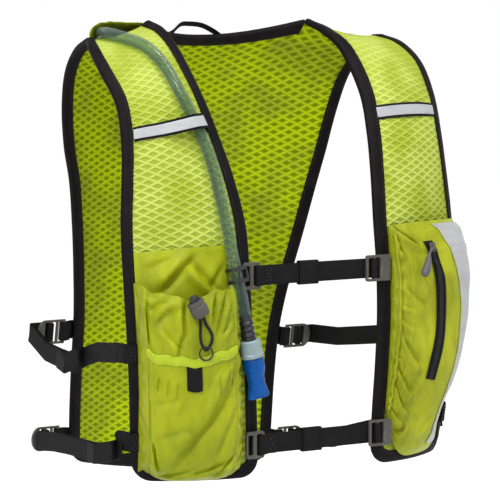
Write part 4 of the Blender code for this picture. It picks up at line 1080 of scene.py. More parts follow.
@dataclass
class Stitching:
    """Rows of short stitches, as one mesh."""

    name: str
    finish: Finish
    length: float = 0.0026
    gap: float = 0.0009
    radius: float = 0.00028

    def sew(self, lines: Sequence[np.ndarray]) -> bpy.types.Object:
        """Lays a stitch at each step along each line.

        Args:
            lines: Polylines on the cloth's face.

        Returns:
            The stitches' object.
        """
        points, faces = [], []
        for line in lines:
            steps = np.linalg.norm(np.diff(line, axis=0), axis=1)
            places = np.concatenate([[0.0], np.cumsum(steps)])
            for start in np.arange(0.001, places[-1] - self.length, self.length + self.gap):
                ends = [
                    np.array([np.interp(start + move, places, line[:, axis]) for axis in range(3)])
                    for move in (0.0, self.length)
                ]
                self.stitch(points, faces, *ends)
        thing = new_mesh(self.name, np.array(points), faces, np.zeros((len(points), 2)))
        return finished(thing, self.finish)

    def stitch(self, points: list, faces: list, start: np.ndarray, end: np.ndarray) -> None:
        """Adds one stitch: two rings of four points between two tips."""
        forward = Vector(end - start).normalized()
        side = forward.orthogonal().normalized()
        other = forward.cross(side)
        first = len(points)
        points.append(tuple(start))
        for share in (0.25, 0.75):
            middle = Vector(start).lerp(Vector(end), share)
            for angle in (0, 90, 180, 270):
                turn = math.radians(angle)
                points.append(tuple(middle + (side * math.cos(turn) + other * math.sin(turn)) * self.radius))
        points.append(tuple(end))
        for index in range(4):
            near, far = first + 1 + index, first + 1 + (index + 1) % 4
            faces += [(first, far, near), (near, far, far + 4, near + 4), (near + 4, far + 4, first + 9)]


@dataclass
class PaddedPanels:
    """The two fronts and the back, in spacer mesh, with their bindings."""

    inset: float = 0.0015
    columns: int = 64

    def build(self) -> None:
        """Makes the three panels, their bindings and the binding of the neck."""
        for seed, side in enumerate(Side, 1):
            edging = Edging(FRONTS[side], inner_gain=0.09)
            self.panel(f"{side.word}_front_panel", edging, FRONT_MESH, 150, self.columns)
            edging.tape(f"{side.word}_front_binding", edging.outline(), edging.t_per_metre, seed)
        edging = Edging(BACK)
        self.panel("back_panel", edging, BACK_MESH, 150, 120)
        edging.tape("back_binding", edging.outline(), edging.t_per_metre, 3)
        self.neck()

    def panel(self, name: str, edging: Edging, finish: Finish, rows: int, columns: int) -> None:
        """Makes one panel.

        Args:
            name: Its node.
            edging: Its outline.
            finish: Its cloth.
            rows: How many rows of points it has.
            columns: How many columns.
        """
        panel = edging.panel
        table = edging.rows(self.inset, rows)
        t, inset = table[:, 0:1], table[:, 1:2]
        share = np.linspace(0, 1, columns)[None, :]
        width = panel.width(t)
        if isinstance(panel, BackPanel):
            s = (2 * share - 1) * (1 - 2 * inset / width)
            t = np.where((t <= panel.seam) & (np.abs(2 * share - 1) < panel.neck_share), 0.005, t)
        else:
            s = (inset + share * (width - 2 * inset)) / width
        patch = Patch.measured(panel.at(s, t))
        across = (share - 0.5) * (width - 2 * inset)
        patch.cloth[..., 0] = across
        soft = ripples(patch.cloth[..., 0], patch.cloth[..., 1], len(name), 0.09)
        hold = clear_of_ends(share, 0.16)
        patch.points = panel.at(s, t, 0.0009 * soft * hold)
        thing = patch.mesh(name, panel.thickness, 0.0006)
        finished(thing, finish, [name])

    def neck(self) -> None:
        """Makes the binding along the back's neck."""
        edging = Edging(BACK, half=0.00345)
        shares = np.linspace(-0.521, 0.521, 72)
        half = float(BACK.width(0.0)) / 2
        path = np.array([(0, (share + 1) * half, 0.0, 0.0, 1.0) for share in shares])
        edging.tape("neck_binding", path, 3.4, 4)


# Webbing and tapes


@dataclass
class Ribbon:
    """A flat woven strap along a path."""

    width: float = 0.020
    wall: float = 0.0014

    def profile(self) -> np.ndarray:
        """Rows of (across, out) round the strap's section, with rounded selvedges."""
        half, thick = self.width / 2, self.wall / 2
        face = [(x * half, thick) for x in (-0.90, -0.45, 0.0, 0.45, 0.90)]
        face += [(0.975 * half, 0.72 * thick), (half, 0.0)]
        back = [(-x, -y) for x, y in face]
        return np.array(face + back)

    def lay(
        self,
        name: str,
        path: np.ndarray,
        ups: tuple[Vector, Vector],
        turn_from: int = 0,
        finish: Finish = WEBBING,
    ) -> bpy.types.Object:
        """Makes the strap.

        Args:
            name: Its node.
            path: The points of its middle line.
            ups: The directions across it at its ends.
            turn_from: The row from which it turns from the first to the second.
            finish: Its weave.

        Returns:
            The strap.
        """
        ahead = np.gradient(path, axis=0)
        ahead /= np.linalg.norm(ahead, axis=1, keepdims=True)
        share = np.clip((np.arange(len(path)) - turn_from) / (len(path) - 1 - turn_from), 0, 1)[:, None]
        upright = np.array(ups[0]) * (1 - share) + np.array(ups[1]) * share
        across = upright - ahead * (upright * ahead).sum(axis=1, keepdims=True)
        across /= np.linalg.norm(across, axis=1, keepdims=True)
        out = np.cross(ahead, across)
        section = self.profile()
        points = path[:, None] + across[:, None] * section[None, :, :1] + out[:, None] * section[None, :, 1:]
        steps = np.linalg.norm(np.diff(path, axis=0), axis=1)
        length = np.concatenate([[0.0], np.cumsum(steps)])[:, None]
        cloth = np.stack(np.broadcast_arrays(section[None, :, 0] + self.width / 2, length), axis=-1)
        rows, sides = points.shape[:2]
        index = np.arange(rows * sides).reshape(rows, sides)
        beside = np.roll(index, -1, axis=1)
        faces = np.stack([index[:-1], beside[:-1], beside[1:], index[1:]], axis=-1).reshape(-1, 4)
        faces = [tuple(face) for face in faces] + [tuple(index[0][::-1]), tuple(index[-1])]
        thing = new_mesh(name, points.reshape(-1, 3), faces, cloth.reshape(-1, 2))
        return finished(thing, finish, [name])

    def box_stitch(
        self, name: str, corner: Vector, across: Vector, up: Vector, size: Sequence[float]
    ) -> None:
        """Sews a rectangle with a cross in it.

        Args:
            name: The stitches' name.
            corner: The rectangle's middle, on the strap's face.
            across: Its width direction.
            up: Its height direction.
            size: Its width and height.
        """
        across, up = across.normalized() * size[0] / 2, up.normalized() * size[1] / 2
        corners = [corner + across * x + up * y for x, y in ((-1, -1), (1, -1), (1, 1), (-1, 1), (-1, -1))]
        lines = [np.array([start, end]) for start, end in zip(corners, corners[1:])]
        lines += [np.array([corners[0], corners[2]]), np.array([corners[1], corners[3]])]
        Stitching(name, BLACK_THREAD).sew(lines)


def frame_piece(
    name: str,
    outline: Sequence,
    windows: Sequence,
    place: Vector,
    across: Vector,
    up: Vector = UP,
    thickness: float = 0.0032,
) -> bpy.types.Object:
    """A moulded frame with rounded edges, cut out of a plate.

    Args:
        name: Its node.
        outline: Corner points of the plate.
        windows: Corner points of each window.
        place: Its middle.
        across: Its width direction.
        up: Its height direction.
        thickness: The plate's thickness.

    Returns:
        The frame.
    """
    edge = 0.0006
    curve = bpy.data.curves.new(name, "CURVE")
    curve.dimensions = "2D"
    curve.fill_mode = "BOTH"
    curve.extrude = thickness / 2 - edge
    curve.bevel_depth = edge
    curve.bevel_resolution = 2
    curve.offset = -edge
    for points in (outline, *windows):
        spline = curve.splines.new("POLY")
        spline.use_cyclic_u = True
        spline.points.add(len(points) - 1)
        for point, (x, y) in zip(spline.points, points):
            point.co = (x, y, 0, 1)
    thing = bpy.data.objects.new(name, curve)
    bpy.context.scene.collection.objects.link(thing)
    stand(thing, place, across.normalized(), up)
    return finished(thing, GREY_PLASTIC, [name])


def rounded_rectangle(
    width: float, height: float, middle: float, radius: float
) -> list[tuple[float, float]]:
    """Corner points of a rectangle with rounded corners, its middle off the centre along X."""
    points = []
    for quarter in range(4):
        sign_x = 1 if quarter in (0, 3) else -1
        sign_y = 1 if quarter in (0, 1) else -1
        centre = (middle + sign_x * (width / 2 - radius), sign_y * (height / 2 - radius))
        for step in range(5):
            angle = math.radians(90 * (quarter + step / 4))
            points.append((centre[0] + radius * math.cos(angle), centre[1] + radius * math.sin(angle)))
    return points


def block(
    name: str, size: Sequence[float], place: Vector, across: Vector, up: Vector, edge: float
) -> bpy.types.Object:
    """A box with rounded edges.

    Args:
        name: Its name.
        size: Its size across, up and out.
        place: Its middle.
        across: Its width direction.
        up: Its height direction.
        edge: The radius of its edges.

    Returns:
        The box, in the scene.
    """
    corners = [(x, y, z) for x in (-0.5, 0.5) for y in (-0.5, 0.5) for z in (-0.5, 0.5)]
    points = np.array(corners) * np.array(size)
    faces = ((0, 1, 3, 2), (4, 6, 7, 5), (0, 4, 5, 1), (2, 3, 7, 6), (0, 2, 6, 4), (1, 5, 7, 3))
    thing = new_mesh(name, points, faces, points[:, :2])
    round_edges(thing, edge, 3)
    across = across.normalized()
    stand(thing, place, across, (up - across * up.dot(across)).normalized())
    return thing


def sweep(name: str, path: np.ndarray, radii: np.ndarray, sides: int, bore: float = 0.0) -> bpy.types.Object:
    """A round bar, or a tube if a bore is given, along a path.

    Args:
        name: Its name.
        path: The points of its middle line.
        radii: Its radius at each point.
        sides: How many sides it has.
        bore: The bore's share of the radius.

    Returns:
        The bar or tube, in the scene.
    """
    ahead = np.gradient(path, axis=0)
    ahead /= np.linalg.norm(ahead, axis=1, keepdims=True)
    side = np.array(Vector(ahead[0]).orthogonal().normalized())
    angles = np.linspace(0, math.tau, sides, endpoint=False)
    lengths = np.concatenate([[0], np.cumsum(np.linalg.norm(np.diff(path, axis=0), axis=1))])
    rings, cloth = [], []
    for point, forward, radius, length in zip(path, ahead, radii, lengths):
        side = side - forward * side.dot(forward)
        side /= np.linalg.norm(side)
        other = np.cross(forward, side)
        circle = np.cos(angles)[:, None] * side + np.sin(angles)[:, None] * other
        rings.append((point, circle, radius))
        cloth.append((angles * radius, np.full(sides, length)))
    order = rings + (rings[::-1] if bore else [])
    count = len(rings)
    points, maps = [], []
    for index, (point, circle, radius) in enumerate(order):
        share = bore if index >= count else 1.0
        points.append(point + circle * radius * share)
        maps.append(np.stack(cloth[index if index < count else 2 * count - 1 - index], axis=-1))
    faces = bands(len(order) + bool(bore), sides)
    if bore:
        faces = [tuple(corner % (len(order) * sides) for corner in face) for face in faces]
    else:
        faces += [tuple(reversed(range(sides))), tuple(range((count - 1) * sides, count * sides))]
    return new_mesh(name, np.concatenate(points), faces, np.concatenate(maps))


def turned(name: str, profile: Sequence, place: Vector, axis: Vector, sides: int = 48) -> bpy.types.Object:
    """A turned solid.

    Args:
        name: Its name.
        profile: Rows of (radius, height) up its outside, from its axis to its axis.
        place: Where its axis starts.
        axis: The direction of its axis.
        sides: How many sides it has.

    Returns:
        The solid, in the scene.
    """
    inner = profile[1:-1]
    angles = np.linspace(0, math.tau, sides, endpoint=False)
    points = [(0.0, 0.0, profile[0][1])]
    for radius, height in inner:
        points += [(radius * math.cos(angle), radius * math.sin(angle), height) for angle in angles]
    points.append((0.0, 0.0, profile[-1][1]))
    faces = [(0, 1 + (index + 1) % sides, 1 + index) for index in range(sides)]
    faces += bands(len(inner), sides, 1)
    start = 1 + (len(inner) - 1) * sides
    faces += [(start + index, start + (index + 1) % sides, len(points) - 1) for index in range(sides)]
    points = np.array(points)
    thing = new_mesh(name, points, faces, points[:, :2])
    round_edges(thing, 0.0004, 2, 28)
    raise_along(thing, place, axis)
    return thing


@dataclass
class FrontStrap:
    """A strap across the front, with its hook, ladder buckle, elastic keeper and sewn loops."""

    name: str
    height: float
    plane: float
    plate_end: float
    hook_x: float = -0.0805
    buckle_x: float = 0.0705
    keeper_x: float = -0.0095
    tail_x: float = -0.030
    beside_bar: float = 0.0026
    behind: float = 0.0030
    second: float = 0.0051

    def build(self) -> None:
        """Makes the strap's pieces."""
        window = 0.0215
        across = Vector((1, 0, 0))
        place = Vector((self.hook_x, self.plane, self.height))
        windows = [rounded_rectangle(0.0062, 0.0200, -0.0055, 0.0012)]
        windows.append(rounded_rectangle(0.0060, window, 0.0046, 0.0010))
        outline = rounded_rectangle(0.0220, 0.0275, 0.0, 0.0035)
        frame_piece(f"{self.name}_hook", outline, windows, place, across)
        start, end = -0.01025, self.plate_end - self.buckle_x
        outline = rounded_rectangle(end - start, 0.0270, (start + end) / 2, 0.0025)
        windows = [rounded_rectangle(0.0060, window, x, 0.0008) for x in (-0.0045, 0.0045)]
        place = Vector((self.buckle_x, self.plane, self.height))
        frame_piece(f"{self.name}_buckle", outline, windows, place, across)
        self.webbing()
        self.keeper()

    def webbing(self) -> None:
        """Makes the strap itself, from its sewn end round the hook and the buckle to its tail."""
        bar = self.hook_x + 0.0093
        turn = self.hook_x + 0.0048
        route = (
            (bar + 0.0160, -0.0010),
            (bar + 0.0080, -0.0010),
            (bar + 0.0030, self.beside_bar),
            (turn, self.beside_bar),
            (turn, -self.behind),
            (self.buckle_x - self.beside_bar, -self.behind),
            (self.buckle_x - self.beside_bar, self.beside_bar),
            (self.buckle_x + self.beside_bar, self.beside_bar),
            (self.buckle_x + self.beside_bar, -self.second),
            (self.tail_x, -self.second),
        )
        points = [(x, self.plane - out, self.height) for x, out in route]
        Ribbon().lay(f"{self.name}_strap", rounded_path(points, 0.0013), (UP, UP))
        middle = Vector((bar + 0.0120, self.plane, self.height))
        Ribbon().box_stitch(f"{self.name}_end_stitches", middle, Vector((1, 0, 0)), UP, (0.006, 0.015))

    def keeper(self) -> None:
        """Makes the elastic loop round both layers."""
        depth = self.second - self.behind + 0.0014 + 0.0008
        middle_y = self.plane + (self.second + self.behind) / 2
        outer_y, outer_z = depth / 2 + 0.0007, 0.0102 + 0.0013
        corners = rounded_rectangle(2 * outer_y, 2 * outer_z, 0.0, 0.0011)
        corners.append(corners[0])
        columns = np.linspace(-0.5, 0.5, 9) * 0.0230
        points = np.array(
            [[(self.keeper_x + x, middle_y + y, self.height + z) for x in columns] for y, z in corners]
        )
        patch = Patch.measured(points)
        finished(patch.mesh(f"{self.name}_keeper", 0.0012, 0.0004), WEBBING, [f"{self.name}_keeper"])


@dataclass
class SideStrap:
    """A side strap: an anchor on the back's edge, a ladder lock, and webbing on to the front's edge."""

    side: Side
    level: str
    buckle: tuple[float, float, float]
    behind: int
    loop_start: int
    loop_end: int
    heights: tuple[float, ...]
    run_y: tuple[float, ...] = (0.100, 0.060, 0.025, -0.008, -0.035, -0.065, -0.100)
    anchor_t: dict = field(default_factory=lambda: {"upper": 0.755, "lower": 0.960})
    anchor_lift: dict = field(default_factory=lambda: {"upper": 0.0002, "lower": 0.0015})
    front_t: dict = field(default_factory=lambda: {"upper": 0.770, "lower": 0.931})
    clear: dict = field(default_factory=lambda: {"upper": 0.0046, "lower": 0.0051})
    beside_bar: float = 0.0026
    back_of_frame: float = 0.0030
    second: float = 0.0051
    layer: float = 0.0022
    loop: float = 0.0100
    lift: float = 0.00395 + 0.0007 + 0.0006

    @property
    def name(self) -> str:
        """The side and level, as the nodes spell them."""
        return f"{self.side.word}_{self.level}"

    def build(self) -> None:
        """Makes the strap's pieces."""
        sign = self.side.value
        outward = Vector((sign, 0, 0))
        t = self.anchor_t[self.level]
        up = (BACK.vector(sign, t - 0.02) - BACK.vector(sign, t + 0.02)).normalized()
        frame_up = (up - outward * up.dot(outward)).normalized()
        backward = frame_up.cross(outward) * sign
        middle = Vector((sign * self.buckle[0], *self.buckle[1:]))

        def at(out: float, back_by: float) -> Vector:
            """A point by its distance out from the buckle's middle, and back from its plane."""
            return middle + outward * out + backward * back_by

        self.ladder_lock(middle, outward, frame_up)
        self.anchor(at, frame_up, t)
        self.webbing(at, outward, frame_up)

    def ladder_lock(self, middle: Vector, outward: Vector, up: Vector) -> None:
        """Makes the ladder lock, with its round outer end."""
        outline = [(-0.0160, -0.0130), (0.0075, -0.0130)]
        for angle in np.radians(np.linspace(-75, 75, 11)):
            outline.append((0.0075 + 0.0095 * math.cos(angle), 0.0130 * math.sin(angle)))
        outline += [(0.0075, 0.0130), (-0.0160, 0.0130)]
        shapes = ((0.0055, -0.01075), (0.0055, -0.00275), (0.0052, 0.0056))
        windows = [rounded_rectangle(width, 0.0215, x, 0.0008) for width, x in shapes]
        frame_piece(f"{self.name}_buckle", outline, windows, middle, outward, up)

    def anchor(self, at: Callable[[float, float], Vector], up: Vector, t: float) -> None:
        """Makes the short webbing that ties the ladder lock to the back."""
        width = float(BACK.width(t))
        lift = self.lift + self.anchor_lift[self.level]
        distances = [value if self.side is Side.RIGHT else width - value for value in (-0.0020, 0.0125)]
        on_back = [BACK.vector(float(BACK.share(distance, t)), t, lift) for distance in distances]
        path = [
            at(-0.0224, -0.0008),
            at(-0.0200, -0.0008),
            at(-0.0178, -self.beside_bar),
            at(-0.0112, -self.beside_bar),
            at(-0.0112, self.back_of_frame),
            at(-0.0206, self.back_of_frame + 0.0002),
            *on_back,
        ]
        Ribbon().lay(f"{self.name}_anchor", rounded_path(path, 0.0014, 0.001), (up, up))

    def webbing(self, at: Callable[[float, float], Vector], outward: Vector, frame_up: Vector) -> None:
        """Makes the strap: its folded tail, its turn round the lock's bar and its run to the front."""
        front = FRONTS[self.side]
        t = self.front_t[self.level]
        width = float(front.width(t))
        edge = front.vector(1.0, t)
        on_front = [front.vector((width - distance) / width, t, self.lift) for distance in (0.0004, 0.0095)]
        front_up = (front.vector(1.0, t - 0.02) - front.vector(1.0, t + 0.02)).normalized()
        clear = self.clear[self.level]
        beside = edge + outward * (clear + 0.0004) + Vector((0, 0.012, 0))
        corner = edge + outward * clear + Vector((0, -0.001, 0))
        first, second = self.back_of_frame * self.behind, self.second * self.behind
        turn_inner = at(0.0210 if self.behind > 0 else 0.0118, first)
        turn_outer = at(0.0232 if self.behind > 0 else 0.0140, second)

        def run(index: int, offset: float) -> Vector:
            """A point on the strap's run to the front, at an offset outwards."""
            share = (turn_inner.y - self.run_y[index]) / (turn_inner.y - beside.y)
            x = abs(turn_inner.x) + (abs(beside.x) - abs(turn_inner.x)) * share
            return Vector((self.side.value * (x + offset), self.run_y[index], self.heights[index]))

        middle = (self.loop_start + self.loop_end) // 2
        tail = [
            run(self.loop_start, 2 * self.layer + 0.0006),
            run(middle, self.layer + self.loop),
            run(self.loop_end, self.layer + 0.6 * self.loop),
            run(self.loop_end, self.layer) + Vector((0, 0.003, 0)),
        ]
        tail += [run(index, self.layer) for index in range(self.loop_end - 1, 0, -1)]
        bar = 0.0015
        turn = [
            turn_outer,
            at(bar - self.beside_bar, second),
            at(bar - self.beside_bar, -self.beside_bar * self.behind),
            at(bar + self.beside_bar, -self.beside_bar * self.behind),
            at(bar + self.beside_bar, first),
            turn_inner,
        ]
        main_run = [run(index, 0.0) for index in range(1, len(self.run_y))] + [beside, corner, *on_front]
        path = rounded_path(tail + turn + main_run, 0.0013)
        Ribbon().lay(f"{self.name}_strap", path, (frame_up, front_up), len(path) - 20)
        middle = on_front[0].lerp(on_front[1], 0.5)
        out = Vector(front.outward(np.array(0.95), np.array(t)) * front.mirror)
        direction = on_front[1] - on_front[0]
        place = middle + out * 0.0010
        Ribbon().box_stitch(f"{self.name}_stitches", place, direction, front_up, (0.006, 0.015))


SIDE_STRAPS = (
    SideStrap(
        Side.RIGHT, "upper", (0.1600, 0.0970, -0.3260), 1, 2, 4,
        (-0.3365, -0.3410, -0.3440, -0.3455, -0.3360, -0.3280, -0.3250),
    ),
    SideStrap(
        Side.RIGHT, "lower", (0.1590, 0.1115, -0.4410), -1, 4, 6,
        (-0.4395, -0.4365, -0.4345, -0.4335, -0.4330, -0.4310, -0.4230),
    ),
    SideStrap(
        Side.LEFT, "upper", (0.1558, 0.0986, -0.3500), 1, 1, 3,
        (-0.3520, -0.3490, -0.3450, -0.3410, -0.3370, -0.3330, -0.3290),
    ),
    SideStrap(
        Side.LEFT, "lower", (0.1562, 0.1128, -0.4660), -1, 4, 6,
        (-0.4680, -0.4620, -0.4520, -0.4430, -0.4370, -0.4300, -0.4215),
    ),
)


@dataclass
class ShoulderStrip:
    """A reflective tape on a black grosgrain, across a front panel."""

    side: Side
    middle_t: tuple[float, float]
    half: float = 0.0158
    first: float = 0.120
    last: float = 0.885
    tube_share: tuple[float, float] = (0.300, 0.272)
    tube_top: float = 0.0161

    def build(self) -> None:
        """Makes the grosgrain, the silver face and its two rows of stitches."""
        base = self.patch(1.0, 0.0)
        name = f"{self.side.word}_reflective_strip"
        finished(base.mesh(name, 0.0009, 0.0002), WEBBING, [name])
        face = self.patch(0.68, 0.00075)
        finished(face.mesh(f"{name}_face", 0.0005, 0.0002), SILVER)
        lines = [base.row_line(row, (0.01, 0.99), 120, 0.0007) for row in (0.08, 0.92)]
        Stitching(f"{name}_stitches", BLACK_THREAD).sew(lines)

    def patch(self, share_of_height: float, lift: float) -> Patch:
        """The tape's surface.

        Args:
            share_of_height: How much of the tape's height it covers.
            lift: How far it lies above the tape's own middle.

        Returns:
            The patch.
        """
        panel = FRONTS[self.side]
        share = np.linspace(self.first, self.last, 90)[None, :]
        row = np.linspace(-1, 1, 9)[:, None]
        row = row * share_of_height
        t = self.middle_t[0] + (self.middle_t[1] - self.middle_t[0]) * share + self.half * row
        rise = np.full(np.broadcast(share, row).shape, 0.00265)
        if self.side is Side.RIGHT:
            near = self.tube_share[0] + (self.tube_share[1] - self.tube_share[0]) * (row + 1) / 2
            away = (share - near) * panel.width(t)
            reach = np.where(away > 0, 0.0380, 0.0145)
            bump = np.clip((reach - np.abs(away)) / (reach - 0.0045), 0, 1)
            soft = np.where(away > 0, bump**1.35, bump**2 * (3 - 2 * bump))
            rise = rise + (self.tube_top - rise) * soft
        return Patch.measured(panel.at(share, t, rise + lift))


# Pockets


@dataclass
class Pocket:
    """A soft pocket that stands proud of a front panel."""

    side: Side
    name: str
    columns: int = 120
    rows: int = 130
    base_rise: float = 0.0044
    wall: float = 0.0010

    def surface(self) -> np.ndarray:
        """Rows by columns of points of the pocket's cloth before it settles."""
        raise NotImplementedError

    def held(self) -> np.ndarray:
        """How firmly each point is held while the cloth settles, from 0 to 1."""
        x = np.linspace(0, 1, self.columns)[None, :]
        y = np.linspace(0, 1, self.rows)[:, None]
        edge = np.minimum(np.minimum(x, 1 - x) / 0.05, (1 - y) / 0.05)
        return np.clip(1 - edge, 0, 1) ** 0.5

    def make(self, finish: Finish, slack: float, pressure: float, cap: float) -> Patch:
        """Makes the pocket's cloth and lets it settle.

        Args:
            finish: Its cloth.
            slack: How much larger the cloth is than its form.
            pressure: How hard it is pushed out.
            cap: The most that a point moves.

        Returns:
            The settled cloth.
        """
        patch = Patch.measured(self.surface())
        patch.points = settled(patch, self.held(), slack, pressure, cap)
        finished(patch.mesh(self.name, self.wall, 0.0003), finish, [self.name])
        return patch


def settled(patch: Patch, held: np.ndarray, slack: float, pressure: float, cap: float) -> np.ndarray:
    """Lets a sheet with some slack puff out and wrinkle, with its edges held.

    Args:
        patch: The sheet.
        held: How firmly each point is held, from 0 to 1.
        slack: How much larger the cloth is than the sheet.
        pressure: How hard it is pushed out.
        cap: The most that a point moves.

    Returns:
        The settled points.
    """
    scene = bpy.context.scene
    thing = patch.mesh("settling")
    group = thing.vertex_groups.new(name="held")
    for index, weight in enumerate(held.reshape(-1)):
        group.add([index], float(weight), "REPLACE")
    modifier = thing.modifiers.new("Cloth", "CLOTH")
    settings = modifier.settings
    settings.vertex_group_mass = "held"
    settings.quality = 6
    settings.mass = 0.12
    settings.tension_stiffness = 20
    settings.compression_stiffness = 20
    settings.shear_stiffness = 8
    settings.bending_stiffness = 0.02
    settings.shrink_min = -slack
    settings.use_pressure = True
    settings.uniform_pressure_force = pressure
    settings.effector_weights.gravity = 0
    modifier.point_cache.frame_end = 22
    for number in range(1, 23):
        scene.frame_set(number)
    evaluated = thing.evaluated_get(bpy.context.evaluated_depsgraph_get())
    after = np.empty(len(evaluated.data.vertices) * 3, np.float32)
    evaluated.data.vertices.foreach_get("co", after)
    scene.frame_set(1)
    move = after.reshape(patch.points.shape) - patch.points
    length = np.linalg.norm(move, axis=-1, keepdims=True)
    move *= np.minimum(1.0, cap / np.maximum(length, 1e-9))
    mesh = thing.data
    bpy.data.objects.remove(thing)
    bpy.data.meshes.remove(mesh)
    LOG.info("settled: moved %.1f mm at most", float(length.max()) * 1000)
    return patch.points + move


class BottlePocket(Pocket):
    """The open pocket for a bottle, with a gathered mouth, liner, band and tab."""

    section = (
        # share of the panel's width, rise, t of the mouth, t of the base
        (0.895, 0.0029, 0.645, 0.964),
        (0.893, 0.0090, 0.646, 0.966),
        (0.885, 0.0170, 0.648, 0.969),
        (0.862, 0.0260, 0.652, 0.975),
        (0.800, 0.0310, 0.660, 0.985),
        (0.700, 0.0340, 0.669, 0.989),
        (0.600, 0.0355, 0.676, 0.990),
        (0.500, 0.0355, 0.673, 0.990),
        (0.400, 0.0335, 0.664, 0.989),
        (0.325, 0.0310, 0.659, 0.988),
        (0.262, 0.0270, 0.660, 0.985),
        (0.222, 0.0205, 0.664, 0.980),
        (0.202, 0.0120, 0.668, 0.974),
        (0.196, 0.0029, 0.671, 0.968),
    )
    fullness = (
        # share of the height below the mouth, share of the full rise
        (0.00, 0.90),
        (0.05, 0.95),
        (0.12, 1.00),
        (0.50, 1.00),
        (0.74, 0.97),
        (0.86, 0.91),
        (0.93, 0.76),
        (0.97, 0.50),
        (1.00, 0.00),
    )
    band_t = (0.760, 0.768, 0.774, 0.777, 0.776, 0.771, 0.765, 0.760)
    folds = (
        Fold((0.745, 0.36), (0.300, 0.96), 0.0030, 0.0075),
        Fold((0.690, 0.38), (0.520, 0.62), 0.0016, 0.0050),
        Fold((0.740, 0.55), (0.560, 0.86), 0.0015, 0.0060),
        Fold((0.440, 0.00), (0.425, 0.20), 0.0034, 0.0034),
        Fold((0.425, 0.17), (0.385, 0.31), 0.0020, 0.0032),
        Fold((0.410, 0.03), (0.290, 0.15), 0.0022, 0.0042),
        Fold((0.365, 0.02), (0.250, 0.08), 0.0016, 0.0034),
        Fold((0.330, 0.19), (0.420, 0.29), 0.0013, 0.0032),
        Fold((0.600, 0.01), (0.560, 0.17), 0.0028, 0.0036),
        Fold((0.680, 0.00), (0.575, 0.23), 0.0022, 0.0040),
        Fold((0.735, 0.06), (0.640, 0.20), 0.0016, 0.0036),
        Fold((0.650, 0.24), (0.760, 0.16), 0.0012, 0.0034),
        Fold((0.250, 0.02), (0.235, 0.32), 0.0026, 0.0030),
        Fold((0.300, 0.42), (0.285, 0.50), 0.0012, 0.0022),
        Fold((0.345, 0.43), (0.340, 0.52), 0.0012, 0.0022),
        Fold((0.390, 0.43), (0.380, 0.53), 0.0012, 0.0024),
        Fold((0.600, 0.42), (0.590, 0.54), 0.0012, 0.0028),
        Fold((0.665, 0.41), (0.625, 0.52), 0.0012, 0.0026),
        Fold((0.720, 0.38), (0.700, 0.50), 0.0012, 0.0026),
        Fold((0.240, 0.80), (0.300, 0.96), 0.0026, 0.0034),
        Fold((0.310, 0.99), (0.500, 0.93), 0.0022, 0.0038),
        Fold((0.450, 0.96), (0.700, 0.91), 0.0022, 0.0036),
        Fold((0.600, 0.99), (0.780, 0.88), 0.0026, 0.0040),
        Fold((0.270, 0.60), (0.420, 0.54), 0.0009, 0.0040),
        Fold((0.330, 0.78), (0.460, 0.70), 0.0010, 0.0048),
    )

    def surface(self) -> np.ndarray:
        """The pocket's cloth, gathered at its mouth and creased at its base."""
        panel = FRONTS[self.side]
        x = np.linspace(0, 1, self.columns)[None, :]
        y = np.linspace(0, 1, self.rows)[:, None]
        y = y**0.92
        table = along(self.section, x)
        s, out, top, base = (table[..., index] for index in range(4))
        full = np.interp(y, *np.array(self.fullness).T)
        floor = np.minimum(out, self.base_rise)
        height = floor + np.maximum(0.0, out - floor) * full
        inside = clear_of_ends(x, 0.22)
        gathers = np.cos(math.tau * 5 * x) + 0.5 * np.cos(math.tau * 11 * x + 1.3)
        height = height + 0.0012 * inside * gathers * np.clip(1 - y / 0.22, 0, 1)
        slow = ripples(x * 0.15, y * 0.17, 12, 0.050, 1.6)
        edges = clear_of_ends(x, 0.10) * np.clip((1.02 - y) / 0.05, 0, 1)
        height = height + (folded(self.folds, x, y, (0.155, 0.165)) + 0.0008 * slow) * edges
        scallops = np.cos(math.tau * y * 10.5 + 1.2 * slow)
        sides = hill(x, 0.125, 0.055) + 0.8 * hill(x, 0.865, 0.050)
        height = height + 0.0026 * scallops * sides * np.clip((y - 0.05) / 0.15, 0, 1)
        seams = hill(x, 0.232, 0.010) + hill(x, 0.772, 0.010)
        height = height - 0.0019 * seams * np.clip((y - 0.25) / 0.1, 0, 1)
        corner = np.clip((y - 0.60) / 0.40, 0, 1)
        s = s + (0.030 + 0.022 * corner) * np.clip(1 - x / 0.22, 0, 1)
        s = s - 0.038 * np.clip((x - 0.78) / 0.22, 0, 1) * (0.4 + 0.6 * y)
        top = top - 0.0030 * gathers * inside
        base = base + 0.008 + 0.010 * np.clip(1 - x / 0.3, 0, 1)
        return panel.at(s, top + (base - top) * y, height)

    def share_down(self, column: np.ndarray, t: np.ndarray) -> np.ndarray:
        """The share of the grid's height at which columns reach t."""
        table = along(self.section, column)
        share = (t - table[..., 2]) / (table[..., 3] - table[..., 2])
        return np.clip(share, 0, 1) ** (1 / 0.92)

    def build(self) -> Patch:
        """Makes the pocket, its liner, its band, its tab and its seams.

        Returns:
            The settled cloth.
        """
        patch = self.make(POCKET_CLOTH, 0.012, 0.3, 0.0020)
        self.liner()
        self.band(patch)
        self.tab(patch)
        self.seams(patch)
        return patch

